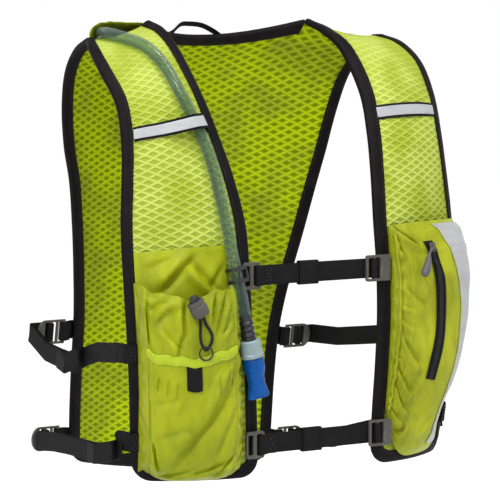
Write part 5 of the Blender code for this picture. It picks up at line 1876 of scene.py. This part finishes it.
    def liner(self) -> None:
        """Makes the cloth behind the mouth, sewn to the panel."""
        panel = FRONTS[self.side]
        across = np.linspace(0, 1, 50)[None, :]
        down = np.linspace(0, 1, 34)[:, None]
        s = 0.914 - (0.914 - 0.212) * across
        top = 0.590 - 0.010 * across
        t = top + (0.700 - top) * down
        hold = np.sin(math.pi * across) * np.sin(math.pi * np.clip(down, 0.02, 1))
        folds = (
            Fold((0.62, 0.02), (0.20, 0.62), 0.0042, 0.0060),
            Fold((0.52, 0.25), (0.88, 0.85), 0.0040, 0.0060),
            Fold((0.40, 0.05), (0.10, 0.20), 0.0014, 0.0050),
            Fold((0.95, 0.20), (0.75, 0.60), 0.0020, 0.0050),
        )
        rise = 0.0046 + 0.0030 * hold + folded(folds, across, down, (0.085, 0.055)) * hold**0.5
        patch = Patch.measured(panel.at(s, t, rise))
        thing = finished(patch.mesh("pocket_liner", 0.0008, 0.0002), POCKET_CLOTH, ["pocket_liner"])
        line = patch.row_line(0.05, (0.01, 0.99), 80, 0.0006)
        Stitching("pocket_liner_stitches", LIME_THREAD).sew([line])

    def band(self, patch: Patch) -> None:
        """Makes the cloth band across the pocket."""
        last = len(self.section) - 1
        column = np.linspace(3, 10, 60)[None, :] / last
        row = np.linspace(-1, 1, 8)[:, None]
        middle = np.interp(column * last, range(3, 11), self.band_t)
        t = middle + 0.008 * row
        lift = 0.0011 + 0.0011 * (1 - row**2) + 0.0002 * np.sin(column * 160)
        points = patch.sample(column, self.share_down(column, t), lift)
        strip = Patch.measured(points)
        finished(strip.mesh("pocket_band", 0.0009, 0.0003), BAND_CLOTH, ["pocket_band"])
        lines = [strip.row_line(row, (0.01, 0.99), 90, 0.0006) for row in (0.14, 0.86)]
        Stitching("pocket_band_stitches", LIME_THREAD).sew(lines)

    def tab(self, patch: Patch) -> None:
        """Makes the small webbing tab that hangs below the band."""
        last = len(self.section) - 1
        row = np.linspace(0, 1, 12)[:, None]
        t = 0.783 + 0.038 * row
        column = (5.76 + np.linspace(0, 1, 7) * 0.98)[None, :] / last
        points = patch.sample(column, self.share_down(column, t), 0.0018)
        strip = Patch.measured(points)
        finished(strip.mesh("pocket_tab", 0.0014, 0.0004), WEBBING, ["pocket_tab"])
        line = strip.row_line(0.08, (0.08, 0.92), 12, 0.0009)
        Stitching("pocket_tab_stitches", BLACK_THREAD).sew([line])

    def seams(self, patch: Patch) -> None:
        """Makes the hem's stitches at the mouth and the seams beside the face."""
        lines = [patch.row_line(0.075, (0.02, 0.98), 120, 0.0007)]
        lines += [patch.column_line(column, (0.03, 0.96), 120, 0.0007) for column in (0.265, 0.775)]
        Stitching("bottle_pocket_stitches", LIME_THREAD).sew(lines)


class ZipPocket(Pocket):
    """The closed pocket, with a zip, a piped seam and a reflective stripe."""

    section = (
        # share of the panel's width, rise, t of the top, t of the base, loss of rise at the lower corner
        (0.112, 0.0029, 0.566, 0.900, 0.0),
        (0.113, 0.0080, 0.564, 0.906, 0.0),
        (0.122, 0.0130, 0.562, 0.914, 0.0),
        (0.150, 0.0152, 0.559, 0.940, 0.0),
        (0.200, 0.0180, 0.557, 0.967, 0.0),
        (0.250, 0.0200, 0.557, 0.980, 0.0),
        (0.298, 0.0225, 0.557, 0.987, 0.0),
        (0.372, 0.0260, 0.557, 0.991, 0.0),
        (0.480, 0.0295, 0.557, 0.991, 0.0),
        (0.600, 0.0312, 0.557, 0.990, 0.05),
        (0.710, 0.0310, 0.557, 0.988, 0.20),
        (0.800, 0.0285, 0.557, 0.984, 0.40),
        (0.868, 0.0235, 0.557, 0.976, 0.60),
        (0.905, 0.0175, 0.558, 0.968, 0.60),
        (0.905, 0.0095, 0.558, 0.962, 0.60),
        (0.884, 0.0029, 0.558, 0.958, 0.0),
    )
    fullness = (
        # share of the height below the top, share of the full rise, loss there, share of the full width
        (0.00, 0.30, 0.00, 1.00),
        (0.05, 0.70, 0.00, 1.00),
        (0.13, 0.93, 0.00, 1.00),
        (0.26, 1.00, 0.15, 1.00),
        (0.40, 0.97, 0.45, 0.98),
        (0.55, 0.91, 0.80, 0.94),
        (0.70, 0.82, 1.15, 0.88),
        (0.82, 0.66, 1.50, 0.82),
        (0.91, 0.48, 1.60, 0.77),
        (0.97, 0.28, 1.60, 0.73),
        (1.00, 0.00, 1.60, 0.72),
    )
    zip_column = 6
    zip_rows = (0.090, 0.665)
    bow = 0.130
    bow_reach = 5.5
    taper_from = 0.60
    stripe_first = (8.0, 8.4, 8.6, 8.6, 8.5, 8.4)
    folds = (
        Fold((0.145, 0.02), (0.330, 0.13), 0.0030, 0.0048),
        Fold((0.130, 0.06), (0.200, 0.20), 0.0020, 0.0040),
        Fold((0.160, 0.33), (0.330, 0.40), 0.0016, 0.0052),
        Fold((0.155, 0.43), (0.260, 0.41), 0.0012, 0.0036),
        Fold((0.155, 0.58), (0.340, 0.65), 0.0026, 0.0056),
        Fold((0.150, 0.69), (0.210, 0.67), 0.0014, 0.0032),
        Fold((0.155, 0.73), (0.360, 0.77), 0.0026, 0.0052),
        Fold((0.155, 0.83), (0.360, 0.84), 0.0024, 0.0050),
        Fold((0.150, 0.96), (0.300, 0.89), 0.0026, 0.0040),
        Fold((0.230, 0.99), (0.420, 0.87), 0.0028, 0.0040),
        Fold((0.330, 1.00), (0.560, 0.84), 0.0026, 0.0042),
        Fold((0.440, 0.70), (0.420, 0.86), 0.0018, 0.0034),
        Fold((0.480, 0.68), (0.470, 0.82), 0.0012, 0.0030),
        Fold((0.160, 0.50), (0.300, 0.50), 0.0010, 0.0050),
        Fold((0.250, 0.18), (0.340, 0.32), 0.0010, 0.0050),
    )

    def surface(self) -> np.ndarray:
        """The pocket's cloth, with soft folds that run off its seams."""
        panel = FRONTS[self.side]
        last = len(self.section) - 1
        x = np.linspace(0, 1, self.columns)[None, :]
        y = np.linspace(0, 1, self.rows)[:, None]
        table = along(self.section, x)
        s, out, top, base, loss = (table[..., index] for index in range(5))
        shares, rises, losses, widths = np.array(self.fullness).T
        full, lost, wide = (np.interp(y, shares, column) for column in (rises, losses, widths))
        s = np.where(s > self.taper_from, self.taper_from + (s - self.taper_from) * wide, s)
        away = np.minimum(1.0, np.abs(x * last - self.zip_column - 0.5) / self.bow_reach)
        bow = np.cos(math.pi / 2 * away) ** 2 * np.sin(math.pi * np.minimum(1.0, y / 0.8))
        s = s + self.bow * np.maximum(0.0, bow)
        floor = np.minimum(out, self.base_rise)
        height = floor + np.maximum(0.0, out - floor) * full * np.maximum(0.0, 1 - loss * lost)
        inside = clear_of_ends(x, 0.2) * clear_of_ends(y, 0.08)
        slow = ripples(x * 0.15, y * 0.20, 23, 0.060, 1.5)
        puckers = np.cos(math.tau * 12 * y + 1.5 * slow) * hill(x, 0.175, 0.035)
        inner = np.cos(math.tau * 11 * y + 2.0) * hill(x, 0.075, 0.035)
        edges = clear_of_ends(x, 0.10) * np.clip(np.minimum(y + 0.02, 1.02 - y) / 0.05, 0, 1)
        away = np.clip(np.abs(x * last - 6.5) - 0.6, 0, 1)
        height = height + folded(self.folds, x, y, (0.150, 0.205)) * edges * away + inside * 0.0007 * slow
        grooves = hill(x, 0.103, 0.008) + hill(x, 0.163, 0.008)
        trim = 0.0014 * puckers + 0.0012 * inner - 0.0014 * grooves
        height = height + trim * clear_of_ends(y, 0.1)
        return panel.at(s, top + (base - top) * y, height)

    def build(self) -> None:
        """Makes the pocket and its trim."""
        patch = self.make(ZIP_CLOTH, 0.012, 0.3, 0.0018)
        self.zip(patch)
        self.piping(patch)
        self.stripe(patch)
        lines = [patch.row_line(0.045, (0.12, 0.93), 90, 0.0007)]
        lines += [patch.column_line(0.235, (0.05, 0.93), 110, 0.0007)]
        Stitching("zip_pocket_stitches", LIME_THREAD).sew(lines)

    def zip(self, patch: Patch) -> None:
        """Makes the zip's tape, its coil, its slider and its pull."""
        last = len(self.section) - 1
        rows = np.linspace(*self.zip_rows, 60)[:, None]
        columns = (self.zip_column + np.linspace(-0.02, 1.02, 9))[None, :] / last
        tape = Patch.measured(patch.sample(columns, rows, 0.0016))
        finished(tape.mesh("zip", 0.0009, 0.0002), WEBBING, ["zip"])
        self.coil(tape)
        top = tape.points[0, 0]
        across = Vector(tape.points[0, -1] - top).normalized()
        down = Vector(tape.points[14, 0] - top).normalized()
        out = Vector(tape.normals()[4, 3])
        middle = Vector(tape.points[3, 4]) + out * 0.0034
        slider = block("zip_slider", (0.0068, 0.0096, 0.0026), middle, across, down, 0.0007)
        finished(slider, GREY_PLASTIC, ["zip_slider"])
        top = middle + out * 0.0018
        bridge = block("zip_slider_bridge", (0.0020, 0.0064, 0.0016), top, across, down, 0.0004)
        finished(bridge, GREY_PLASTIC)
        self.pull(middle, across, down, out)

    def coil(self, tape: Patch) -> None:
        """Makes the zip's closed coil, a tooth at a time."""
        length = float(tape.cloth[-1, 0, 1])
        count = int(length / 0.0014)
        places = (np.arange(count) + 0.5) / count
        middle = tape.sample(np.full(count, 0.5), places, 0.0008)
        left = tape.sample(np.full(count, 0.32), places, 0.0006)
        right = tape.sample(np.full(count, 0.68), places, 0.0006)
        teeth = Stitching("zip_coil", DARK_PLASTIC, length=0.0030, gap=0.0, radius=0.0006)
        points, faces = [], []
        for first, centre, second in zip(left, middle, right):
            teeth.stitch(points, faces, first, centre)
            teeth.stitch(points, faces, centre, second)
        finished(new_mesh("zip_coil", np.array(points), faces, np.zeros((len(points), 2))), DARK_PLASTIC)

    def pull(self, middle: Vector, across: Vector, down: Vector, out: Vector) -> None:
        """Makes the pull: a loop of cord into a moulded grip."""
        route = (
            # across, down, clear of the slider
            (0.0000, 0.0010, 0.0030),
            (-0.0060, 0.0030, 0.0037),
            (-0.0125, 0.0090, 0.0051),
            (-0.0180, 0.0160, 0.0065),
            (-0.0240, 0.0235, 0.0070),
            (-0.0300, 0.0300, 0.0070),
        )
        points = [middle + across * x + down * y + out * z for x, y, z in route]
        path = smooth_route([tuple(point) for point in points], 0.0008)
        shares = np.linspace(0, 1, len(path))
        thickness = (0.0010, 0.0010, 0.0013, 0.0030, 0.0036, 0.0046, 0.0040)
        radii = np.interp(shares, np.linspace(0, 1, 7), thickness)
        ribs = 1 + 0.07 * np.cos(shares * math.tau * 11) * (shares > 0.5)
        radii = radii * ribs * np.where(shares > 0.97, (1 - shares) / 0.03 * 0.6 + 0.4, 1)
        thing = sweep("zip_pull", path, radii, 20)
        finished(thing, GREY_RUBBER, ["zip_pull"])

    def piping(self, patch: Patch) -> None:
        """Makes the corded seam along the pocket's inner side, puckered by its stitches."""
        rows = np.linspace(0.05, 0.97, 170)
        waver = 0.0016 * ripples(np.zeros(170), rows * 0.19, 8, 0.02)
        line = patch.sample(np.full(170, 2 / 15) + waver, rows, 0.0020)
        radii = 0.0017 * (1 + 0.12 * np.cos(rows * 170) * 0.5)
        finished(sweep("pocket_piping", line, radii, 12), ZIP_CLOTH, ["pocket_piping"])

    def stripe(self, patch: Patch) -> None:
        """Makes the reflective stripe down the pocket's outer side."""
        rows = np.linspace(0.02, 0.955, 110)[:, None]
        first = along(np.array(self.stripe_first)[:, None], rows)[..., 0]
        columns = (first + (12 - first) * np.linspace(0, 1, 24)[None, :]) / 15
        stripe = Patch.measured(patch.sample(columns, rows, 0.0014))
        name = "pocket_reflective_stripe"
        finished(stripe.mesh(name, 0.0006, 0.0002), SILVER, [name])
        lines = [stripe.column_line(column, (0.01, 0.99), 110, 0.0005) for column in (0.05, 0.95)]
        Stitching("pocket_stripe_stitches", LIME_THREAD).sew(lines)


@dataclass
class CordLock:
    """The barrel, its push button, the elastic cord through it and the ring on the cord."""

    share: float = 0.540
    t: float = 0.689
    rise: float = 0.0453
    radius: float = 0.0088
    length: float = 0.0170
    button: float = 0.0046
    socket_depth: float = 0.0080
    socket_aside: float = 0.0022
    cord: float = 0.0015
    ring: tuple[float, float] = (0.0067, 0.00085)
    route: tuple = (
        # across, down, out, from the lock's middle
        (0.0010, 0.0030, -0.0052),
        (0.0026, 0.0080, -0.0052),
        (0.0034, 0.0140, -0.0048),
        (0.0032, 0.0200, -0.0040),
        (0.0028, 0.0270, -0.0030),
        (0.0034, 0.0340, -0.0022),
        (0.0058, 0.0392, -0.0008),
        (0.0090, 0.0416, -0.0042),
        (0.0122, 0.0398, -0.0076),
        (0.0152, 0.0345, -0.0066),
        (0.0158, 0.0280, -0.0064),
        (0.0130, 0.0220, -0.0062),
        (0.0092, 0.0165, -0.0056),
        (0.0072, 0.0110, -0.0052),
        (0.0052, 0.0050, -0.0052),
    )

    def build(self) -> None:
        """Makes the lock's pieces."""
        panel = FRONTS[Side.RIGHT]
        middle = panel.vector(self.share, self.t, self.rise)
        across = panel.vector(self.share - 0.05, self.t) - panel.vector(self.share + 0.05, self.t)
        across.normalize()
        out = panel.vector(self.share, self.t, 0.01) - panel.vector(self.share, self.t)
        out.z = 0
        out.normalize()
        axis = (-across * 0.48 + UP * 0.88).normalized()
        self.barrel(middle, axis, out)
        self.loop(middle, across, out)

    def barrel(self, middle: Vector, axis: Vector, out: Vector) -> None:
        """Makes the barrel, with a groove round it and a socket in its top, and the button."""
        half, wide = self.length / 2, self.radius
        socket = self.button + 0.0003
        profile = (
            (0.0, -half),
            (wide * 0.85, -half),
            (wide * 0.96, -half + 0.0015),
            (wide, -half + 0.0050),
            (wide, half - 0.0065),
            (wide * 0.93, half - 0.0060),
            (wide * 0.93, half - 0.0048),
            (wide, half - 0.0043),
            (wide * 0.98, half - 0.0012),
            (wide * 0.89, half),
            (socket, half),
            (socket, half - self.socket_depth),
            (0.0, half - self.socket_depth),
        )
        thing = turned("cord_lock", profile, middle, axis)
        aside = thing.matrix_world.to_3x3().inverted() @ (out * self.socket_aside)
        for vertex in list(thing.data.vertices)[1 + 48 * (len(profile) - 4) :]:
            vertex.co += aside
        finished(thing, GREY_PLASTIC, ["cord_lock"])
        place = middle + out * self.socket_aside
        angles = np.linspace(0, math.tau, 41)
        side = axis.cross(out)
        centre, round_by = place + axis * half, socket + 0.0007
        rim = [centre + (side * math.cos(a) + out * math.sin(a)) * round_by for a in angles]
        path = np.array([tuple(point) for point in rim])
        finished(sweep("cord_lock_rim", path, np.full(41, 0.0007), 12), DARK_PLASTIC)
        end = half + 0.0058
        profile = [(0.0, half - 0.0030), (self.button, half - 0.0030), (self.button, end - 0.0015)]
        profile += [(self.button * 0.75, end - 0.0004), (self.button * 0.3, end), (0.0, end)]
        finished(turned("lock_button", profile, place, axis), DARK_PLASTIC, ["lock_button"], BUTTON)

    def loop(self, middle: Vector, across: Vector, out: Vector) -> None:
        """Makes the elastic cord and its ring."""
        points = [tuple(middle + across * x - UP * y + out * z) for x, y, z in self.route]
        path = smooth_route(points, 0.0012)
        thing = sweep("lock_cord", path, np.full(len(path), self.cord), 14)
        ring_middle = middle + across * 0.0090 - UP * 0.0449 - out * 0.0042
        angles = np.linspace(0, math.tau, 61)
        reach, thick = self.ring
        circle = [ring_middle + (across * math.cos(a) + UP * math.sin(a)) * reach for a in angles]
        ring = sweep("cord_ring", np.array([tuple(point) for point in circle]), np.full(61, thick), 12)
        finished(ring, DARK_PLASTIC, ["cord_ring"])
        finished(thing, CORD, ["lock_cord"])
        exit_at, length, size = tuple(path[0]), length_of(path), 2 * self.cord
        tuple(exit_at)


# The back's sleeve, the tube's cover and the hang loop


@dataclass
class BackPieces:
    """The bladder sleeve, the cover that leads the tube over the shoulder, and the hang loop."""

    sleeve_top: float = 0.20
    sleeve_base: float = 0.950
    sleeve_rise: float = 0.024

    def build(self) -> None:
        """Makes the three pieces."""
        self.sleeve()
        self.cover()
        self.loop()

    def sleeve(self) -> None:
        """Makes the flat sleeve for the drink bladder, open at its top."""
        base = 0.00215 + 0.0006 + 0.0008
        s = np.linspace(-0.66, 0.66, 90)[None, :]
        down = np.linspace(0, 1, 90)[:, None]
        flat = 1 - np.abs(s / 0.66) ** 3.5
        closing = 1 - np.maximum(0.0, (down - 0.55) / 0.45) ** 2.5
        opening = 0.88 + 0.12 * np.minimum(1.0, down / 0.35)
        folds = ripples(s * 0.14, down * 0.38, 31, 0.07, 1.6) * flat * np.clip((1 - down) / 0.15, 0, 1)
        rise = base + (self.sleeve_rise - base) * flat * closing * opening + 0.0018 * folds
        t = self.sleeve_top + (self.sleeve_base - self.sleeve_top) * down
        patch = Patch.measured(BACK.at(s, t, rise))
        thing = finished(patch.mesh("bladder_sleeve", 0.0010, 0.0003), POCKET_CLOTH, ["bladder_sleeve"])
        patch.mean_width()
        lines = [patch.row_line(row, (0.02, 0.98), 150, 0.0007) for row in (0.030, 0.045)]
        lines += [patch.column_line(column, (0.03, 0.97), 150, 0.0007) for column in (0.02, 0.98)]
        lines += [patch.row_line(0.975, (0.02, 0.98), 150, 0.0007)]
        Stitching("bladder_sleeve_stitches", LIME_THREAD).sew(lines)

    def cover(self) -> None:
        """Makes the arched flap over the tube on the right shoulder."""
        base = 0.00395 + 0.0006
        across = np.linspace(0, 1, 48)[None, :]
        down = np.linspace(0, 1, 44)[:, None]
        first = -0.960 + (-0.66 + 0.960) * down
        second = -0.550 + (-0.28 + 0.550) * down
        arch = np.maximum(0.0, np.sin(math.pi * across ** (0.66 + 0.34 * down))) ** (0.85 - 0.25 * down)
        folds = ripples(across * 0.08, down * 0.10, 41, 0.030, 1.4) * np.sin(math.pi * across)
        rise = base + (0.0150 + 0.0020 * down) * arch + 0.0008 * folds
        t = 0.006 + (self.sleeve_top - 0.014) * down
        patch = Patch.measured(BACK.at(first + (second - first) * across, t, rise))
        thing = finished(patch.mesh("tube_cover", 0.0010, 0.0003), POCKET_CLOTH, ["tube_cover"])
        size = (patch.mean_width(), float(patch.cloth[-1, -1, 1]))
        lines = [patch.column_line(column, (0.03, 0.97), 70, 0.0007) for column in (0.03, 0.97)]
        lines += [patch.row_line(0.04, (0.03, 0.97), 70, 0.0007)]
        Stitching("tube_cover_stitches", LIME_THREAD).sew(lines)

    def loop(self) -> None:
        """Makes the hang loop on the outside of the neck binding."""
        route = (
            # share of the back's half width, t, height above the surface's line
            (-0.245, 0.020, 0.0),
            (-0.205, 0.010, 0.0020),
            (-0.150, 0.0, 0.0080),
            (-0.090, 0.0, 0.0095),
            (0.000, 0.0, 0.0080),
            (0.080, 0.008, 0.0030),
            (0.125, 0.020, 0.0),
        )
        lift = 0.00395 + 0.0008
        points = [tuple(BACK.vector(s, t, lift) + UP * height) for s, t, height in route]
        ups = tuple(
            (BACK.vector(s, 0.0) - BACK.vector(s, 0.03)).normalized() for s in (route[0][0], route[-1][0])
        )
        Ribbon(width=0.006).lay("hang_loop", smooth_route(points, 0.0015), ups, finish=NARROW_TAPE)


# The tube and its fittings


@dataclass
class DrinkTube:
    """The tube from the sleeve over the right shoulder, its fittings, its mouthpiece and its clip."""

    radius: float = 0.006
    bore: float = 0.70
    connector: float = 0.024
    collar: float = 0.018
    valve: float = 0.041
    gap: float = 0.0005
    axis: Vector = field(default_factory=lambda: Vector((0.19, -0.012, -0.98)).normalized())
    on_back: tuple = (
        # share of the back's half width, t, rise
        (-0.330, 0.310, 0.0092),
        (-0.370, 0.250, 0.0092),
        (-0.450, 0.200, 0.0092),
        (-0.590, 0.150, 0.0092),
        (-0.730, 0.100, 0.0092),
        (-0.822, 0.050, 0.0092),
        (-0.850, 0.012, 0.0092),
    )
    on_front: tuple = (
        (-0.1615, -0.0270, -0.0112),
        (-0.1550, -0.0440, -0.0150),
        (-0.1475, -0.0621, -0.0202),
        (-0.1410, -0.0760, -0.0290),
        (-0.1366, -0.0924, -0.0437),
        (-0.1336, -0.1076, -0.0617),
        (-0.1297, -0.1182, -0.0786),
        (-0.1242, -0.1258, -0.0957),
        (-0.1192, -0.1327, -0.1132),
        (-0.1151, -0.1389, -0.1310),
        (-0.1120, -0.1447, -0.1500),
        (-0.1100, -0.1495, -0.1680),
        (-0.1082, -0.1545, -0.1870),
        (-0.1066, -0.1592, -0.2060),
        (-0.1052, -0.1633, -0.2240),
        (-0.1032, -0.1668, -0.2410),
        (-0.1012, -0.1697, -0.2560),
        (-0.0997, -0.1735, -0.2720),
        (-0.0965, -0.1742, -0.2880),
    )

    def build(self) -> None:
        """Makes the tube and everything on it."""
        route = [tuple(BACK.at(*place)) for place in self.on_back] + list(self.on_front)
        path = smooth_route(route, 0.004)
        thing = sweep("drink_tube", path, np.full(len(path), self.radius), 32, self.bore)
        finished(thing, CLEAR_TUBE, ["drink_tube"])
        place = Vector(self.on_front[-1]) + self.axis * self.gap
        pieces = [self.fit_connector(place)]
        place = place + self.axis * (self.connector + self.gap)
        pieces.append(self.fit_collar(place))
        place = place + self.axis * (self.collar + self.gap)
        pieces.append(self.mouthpiece(place))
        exit_at, length, size = tuple(path[0]), length_of(path), 2 * self.radius
        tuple(exit_at)
        self.clip()

    def fit_connector(self, place: Vector) -> bpy.types.Object:
        """Makes the ribbed connector."""
        rib, waist = 0.0072, 0.0058
        profile = [(0.0, 0.0), (0.0062, 0.0), (0.0062, 0.002), (waist, 0.003)]
        for index in range(3):
            start = 0.0050 + 0.0058 * index
            profile += [(waist, start), (rib, start + 0.0010), (rib, start + 0.0036), (waist, start + 0.0046)]
        profile += [(rib, 0.0222), (rib, self.connector), (0.0, self.connector)]
        thing = turned("tube_connector", profile, place, self.axis, 40)
        return finished(thing, CONNECTOR_PLASTIC, ["tube_connector"])

    def fit_collar(self, place: Vector) -> bpy.types.Object:
        """Makes the frosted collar, with a wider lower rim."""
        end = self.collar
        profile = ((0.0, 0.0), (0.0098, 0.0), (0.0108, 0.0010), (0.0110, 0.0060), (0.0112, end - 0.0045))
        profile += ((0.0120, end - 0.0035), (0.0120, end - 0.0008), (0.0110, end), (0.0, end))
        return finished(turned("valve_collar", profile, place, self.axis), FROSTED, ["valve_collar"])

    def mouthpiece(self, place: Vector) -> bpy.types.Object:
        """Makes the soft mouthpiece, round at its top and flattened at its slit."""
        sections = (
            # distance along, half width, half depth
            (0.0, 0.0105, 0.0105),
            (0.0010, 0.0110, 0.0110),
            (0.0060, 0.0111, 0.0111),
            (0.0110, 0.0108, 0.0108),
            (0.0150, 0.0096, 0.0096),
            (0.0200, 0.0086, 0.0084),
            (0.0260, 0.0088, 0.0074),
            (0.0330, 0.0104, 0.0062),
            (0.0390, 0.0118, 0.0052),
            (self.valve - 0.0006, 0.0117, 0.0048),
            (self.valve, 0.0112, 0.0042),
        )
        places = np.array([row[0] for row in sections])
        sides, rings = 48, np.linspace(0, self.valve, 46)
        wide = np.interp(rings, places, [row[1] for row in sections])
        deep = np.interp(rings, places, [row[2] for row in sections])
        grooved = (np.cos(rings * math.tau / 0.0028) > 0.55) * (rings < 0.010) * (rings > 0.001)
        grooves = 1 - 0.025 * grooved
        angles = np.linspace(0, math.tau, sides, endpoint=False)
        points = [
            (half_w * groove * math.cos(angle), half_d * groove * math.sin(angle), height)
            for half_w, half_d, groove, height in zip(wide, deep, grooves, rings)
            for angle in angles
        ]
        opening = wide[-1] * 0.72
        slit = [(opening * math.cos(a), 0.0009 * math.sin(a), self.valve) for a in angles]
        deep_slit = [(x, y, self.valve - 0.0040) for x, y, _ in slit]
        points += slit + deep_slit
        faces = bands(len(rings) + 2, sides)
        faces.append(tuple(reversed(range(sides))))
        faces.append(tuple(range((len(rings) + 1) * sides, (len(rings) + 2) * sides)))
        points = np.array(points)
        thing = new_mesh("bite_valve", points, faces, points[:, ::2])
        thing.data.set_sharp_from_angle(angle=math.radians(50))
        raise_along(thing, place, self.axis)
        return finished(thing, BLUE_RUBBER, ["bite_valve"])

    def clip(self) -> None:
        """Makes the bracket that holds the tube beside the sternum hook: two rings and a bar behind them."""
        middle = Vector((-0.1022, -0.1684, -0.2480))
        ahead = (Vector(self.on_front[-3]) - Vector(self.on_front[-4])).normalized()
        across = Vector((1, 0, 0))
        across = (across - ahead * across.dot(ahead)).normalized()
        out = ahead.cross(across)
        angles = np.linspace(0, math.tau, 48, endpoint=False)
        cosine, sine = np.cos(angles), np.sin(angles)
        square_x, square_y = (np.sign(wave) * np.abs(wave) ** 0.4 for wave in (cosine, sine))
        outer = np.stack([square_x * 0.0095, square_y * 0.0078])
        inner = np.stack([cosine, sine]) * (self.radius + 0.0007)
        points, faces = [], []
        for low, high in ((-0.0080, -0.0042), (0.0042, 0.0080)):
            first = len(points)
            for ring, height in ((outer, low), (outer, high), (inner, high), (inner, low)):
                points += [(x, y, height) for x, y in ring.T]
            for ring in range(4):
                for index in range(48):
                    beside, after = (index + 1) % 48, (ring + 1) % 4
                    corners = (48 * ring + index, 48 * ring + beside, 48 * after + beside, 48 * after + index)
                    faces.append(tuple(first + corner for corner in corners))
        points = np.array(points)
        thing = new_mesh("tube_clip", points, faces, points[:, :2])
        round_edges(thing, 0.0005, 2, 50)
        stand(thing, middle, across, out * -1)
        finished(thing, DARK_PLASTIC, ["tube_clip"])
        place = middle + across * 0.0084
        bar = block("tube_clip_bar", (0.0020, 0.0130, 0.0100), place, across, out, 0.0005)
        finished(bar, DARK_PLASTIC)


# The studio


@dataclass
class Studio:
    """The camera, the lights, the floor and the backdrop."""

    place: Vector = field(default_factory=lambda: Vector((-1.825, -2.746, 0.051)))
    aim: Vector = field(default_factory=lambda: Vector((0.557, 0.826, -0.088)))
    lens: float = 226.6
    floor_z: float = -0.62
    glow: float = 0.66

    def build(self) -> None:
        """Sets up the camera, the lights and the floor."""
        scene = bpy.context.scene
        data = bpy.data.cameras.new("camera")
        data.lens = self.lens
        data.sensor_width = 36.0
        data.clip_end = 50.0
        camera = bpy.data.objects.new("camera", data)
        scene.collection.objects.link(camera)
        aim_at(camera, self.place, self.aim)
        scene.camera = camera
        self.lamp("key", (-2.6, -1.8, 2.4), (-0.05, -0.05, -0.2), 0.9, 115)
        self.lamp("fill", (2.6, -2.4, 1.0), (0.05, -0.05, -0.25), 1.8, 8)
        self.lamp("top", (0.1, -0.9, 2.7), (0.0, 0.05, -0.15), 1.2, 80)
        self.lamp("front", (-1.0, -3.0, 0.2), (0.0, 0.0, -0.25), 1.4, 8)
        world = bpy.data.worlds.new("studio")
        world.use_nodes = True
        background = world.node_tree.nodes["Background"]
        background.inputs["Color"].default_value = (1.0, 1.0, 1.0, 1.0)
        background.inputs["Strength"].default_value = 0.16
        scene.world = world
        scene.view_settings.view_transform = "Standard"
        self.floor()

    def lamp(
        self, name: str, place: Sequence[float], target: Sequence[float], size: float, power: float
    ) -> None:
        """Adds a soft square lamp.

        Args:
            name: Its name.
            place: Where it hangs.
            target: Where it points.
            size: The length of its sides.
            power: Its power in watts.
        """
        data = bpy.data.lights.new(name, "AREA")
        data.size = size
        data.energy = power
        lamp = bpy.data.objects.new(name, data)
        bpy.context.scene.collection.objects.link(lamp)
        aim_at(lamp, place, Vector(target) - Vector(place))

    def floor(self) -> None:
        """Makes a pale round floor that curves up, well clear of the vest, into a wall all round it."""
        profile = [(0.02, 0.0), (3.0, 0.0), (6.0, 0.0)]
        turns = np.linspace(0.15, math.pi / 2, 10)
        profile += [(6.0 + 2.0 * math.sin(turn), 2.0 - 2.0 * math.cos(turn)) for turn in turns]
        profile.append((8.0, 6.0))
        sides = 72
        turns = np.linspace(0, math.tau, sides, endpoint=False)
        circle = [(math.cos(turn), math.sin(turn)) for turn in turns]
        points = [(radius * x, radius * y, z + self.floor_z) for radius, z in profile for x, y in circle]
        faces = [tuple(range(sides)), *(face[::-1] for face in bands(len(profile), sides))]
        thing = new_mesh("studio_floor", np.array(points), faces, np.zeros((len(points), 2)))
        shader = Shader("studio_white")
        shader.paint(Base_Color=(0.45, 0.45, 0.45), Roughness=0.85)
        shader.paint(Emission_Color=(1.0, 1.0, 1.0), Emission_Strength=self.glow)
        thing.data.materials.append(shader.material)


def main() -> None:
    """Builds the studio and the vest's sub-assemblies in order."""
    logging.basicConfig(level=logging.INFO, format="%(message)s")
    Studio().build()
    DrinkTube().build()
    CordLock().build()
    PaddedPanels().build()
    ShoulderStrip(Side.RIGHT, (0.338, 0.349)).build()
    ShoulderStrip(Side.LEFT, (0.326, 0.312)).build()
    BottlePocket(Side.RIGHT, "right_bottle_pocket").build()
    ZipPocket(Side.LEFT, "left_zip_pocket").build()
    BackPieces().build()
    FrontStrap("sternum", -0.2505, -0.1618, 0.0905).build()
    FrontStrap("waist", -0.4195, -0.1679, 0.0880).build()
    for strap in SIDE_STRAPS:
        strap.build()


if __name__ == "__main__":
    main()
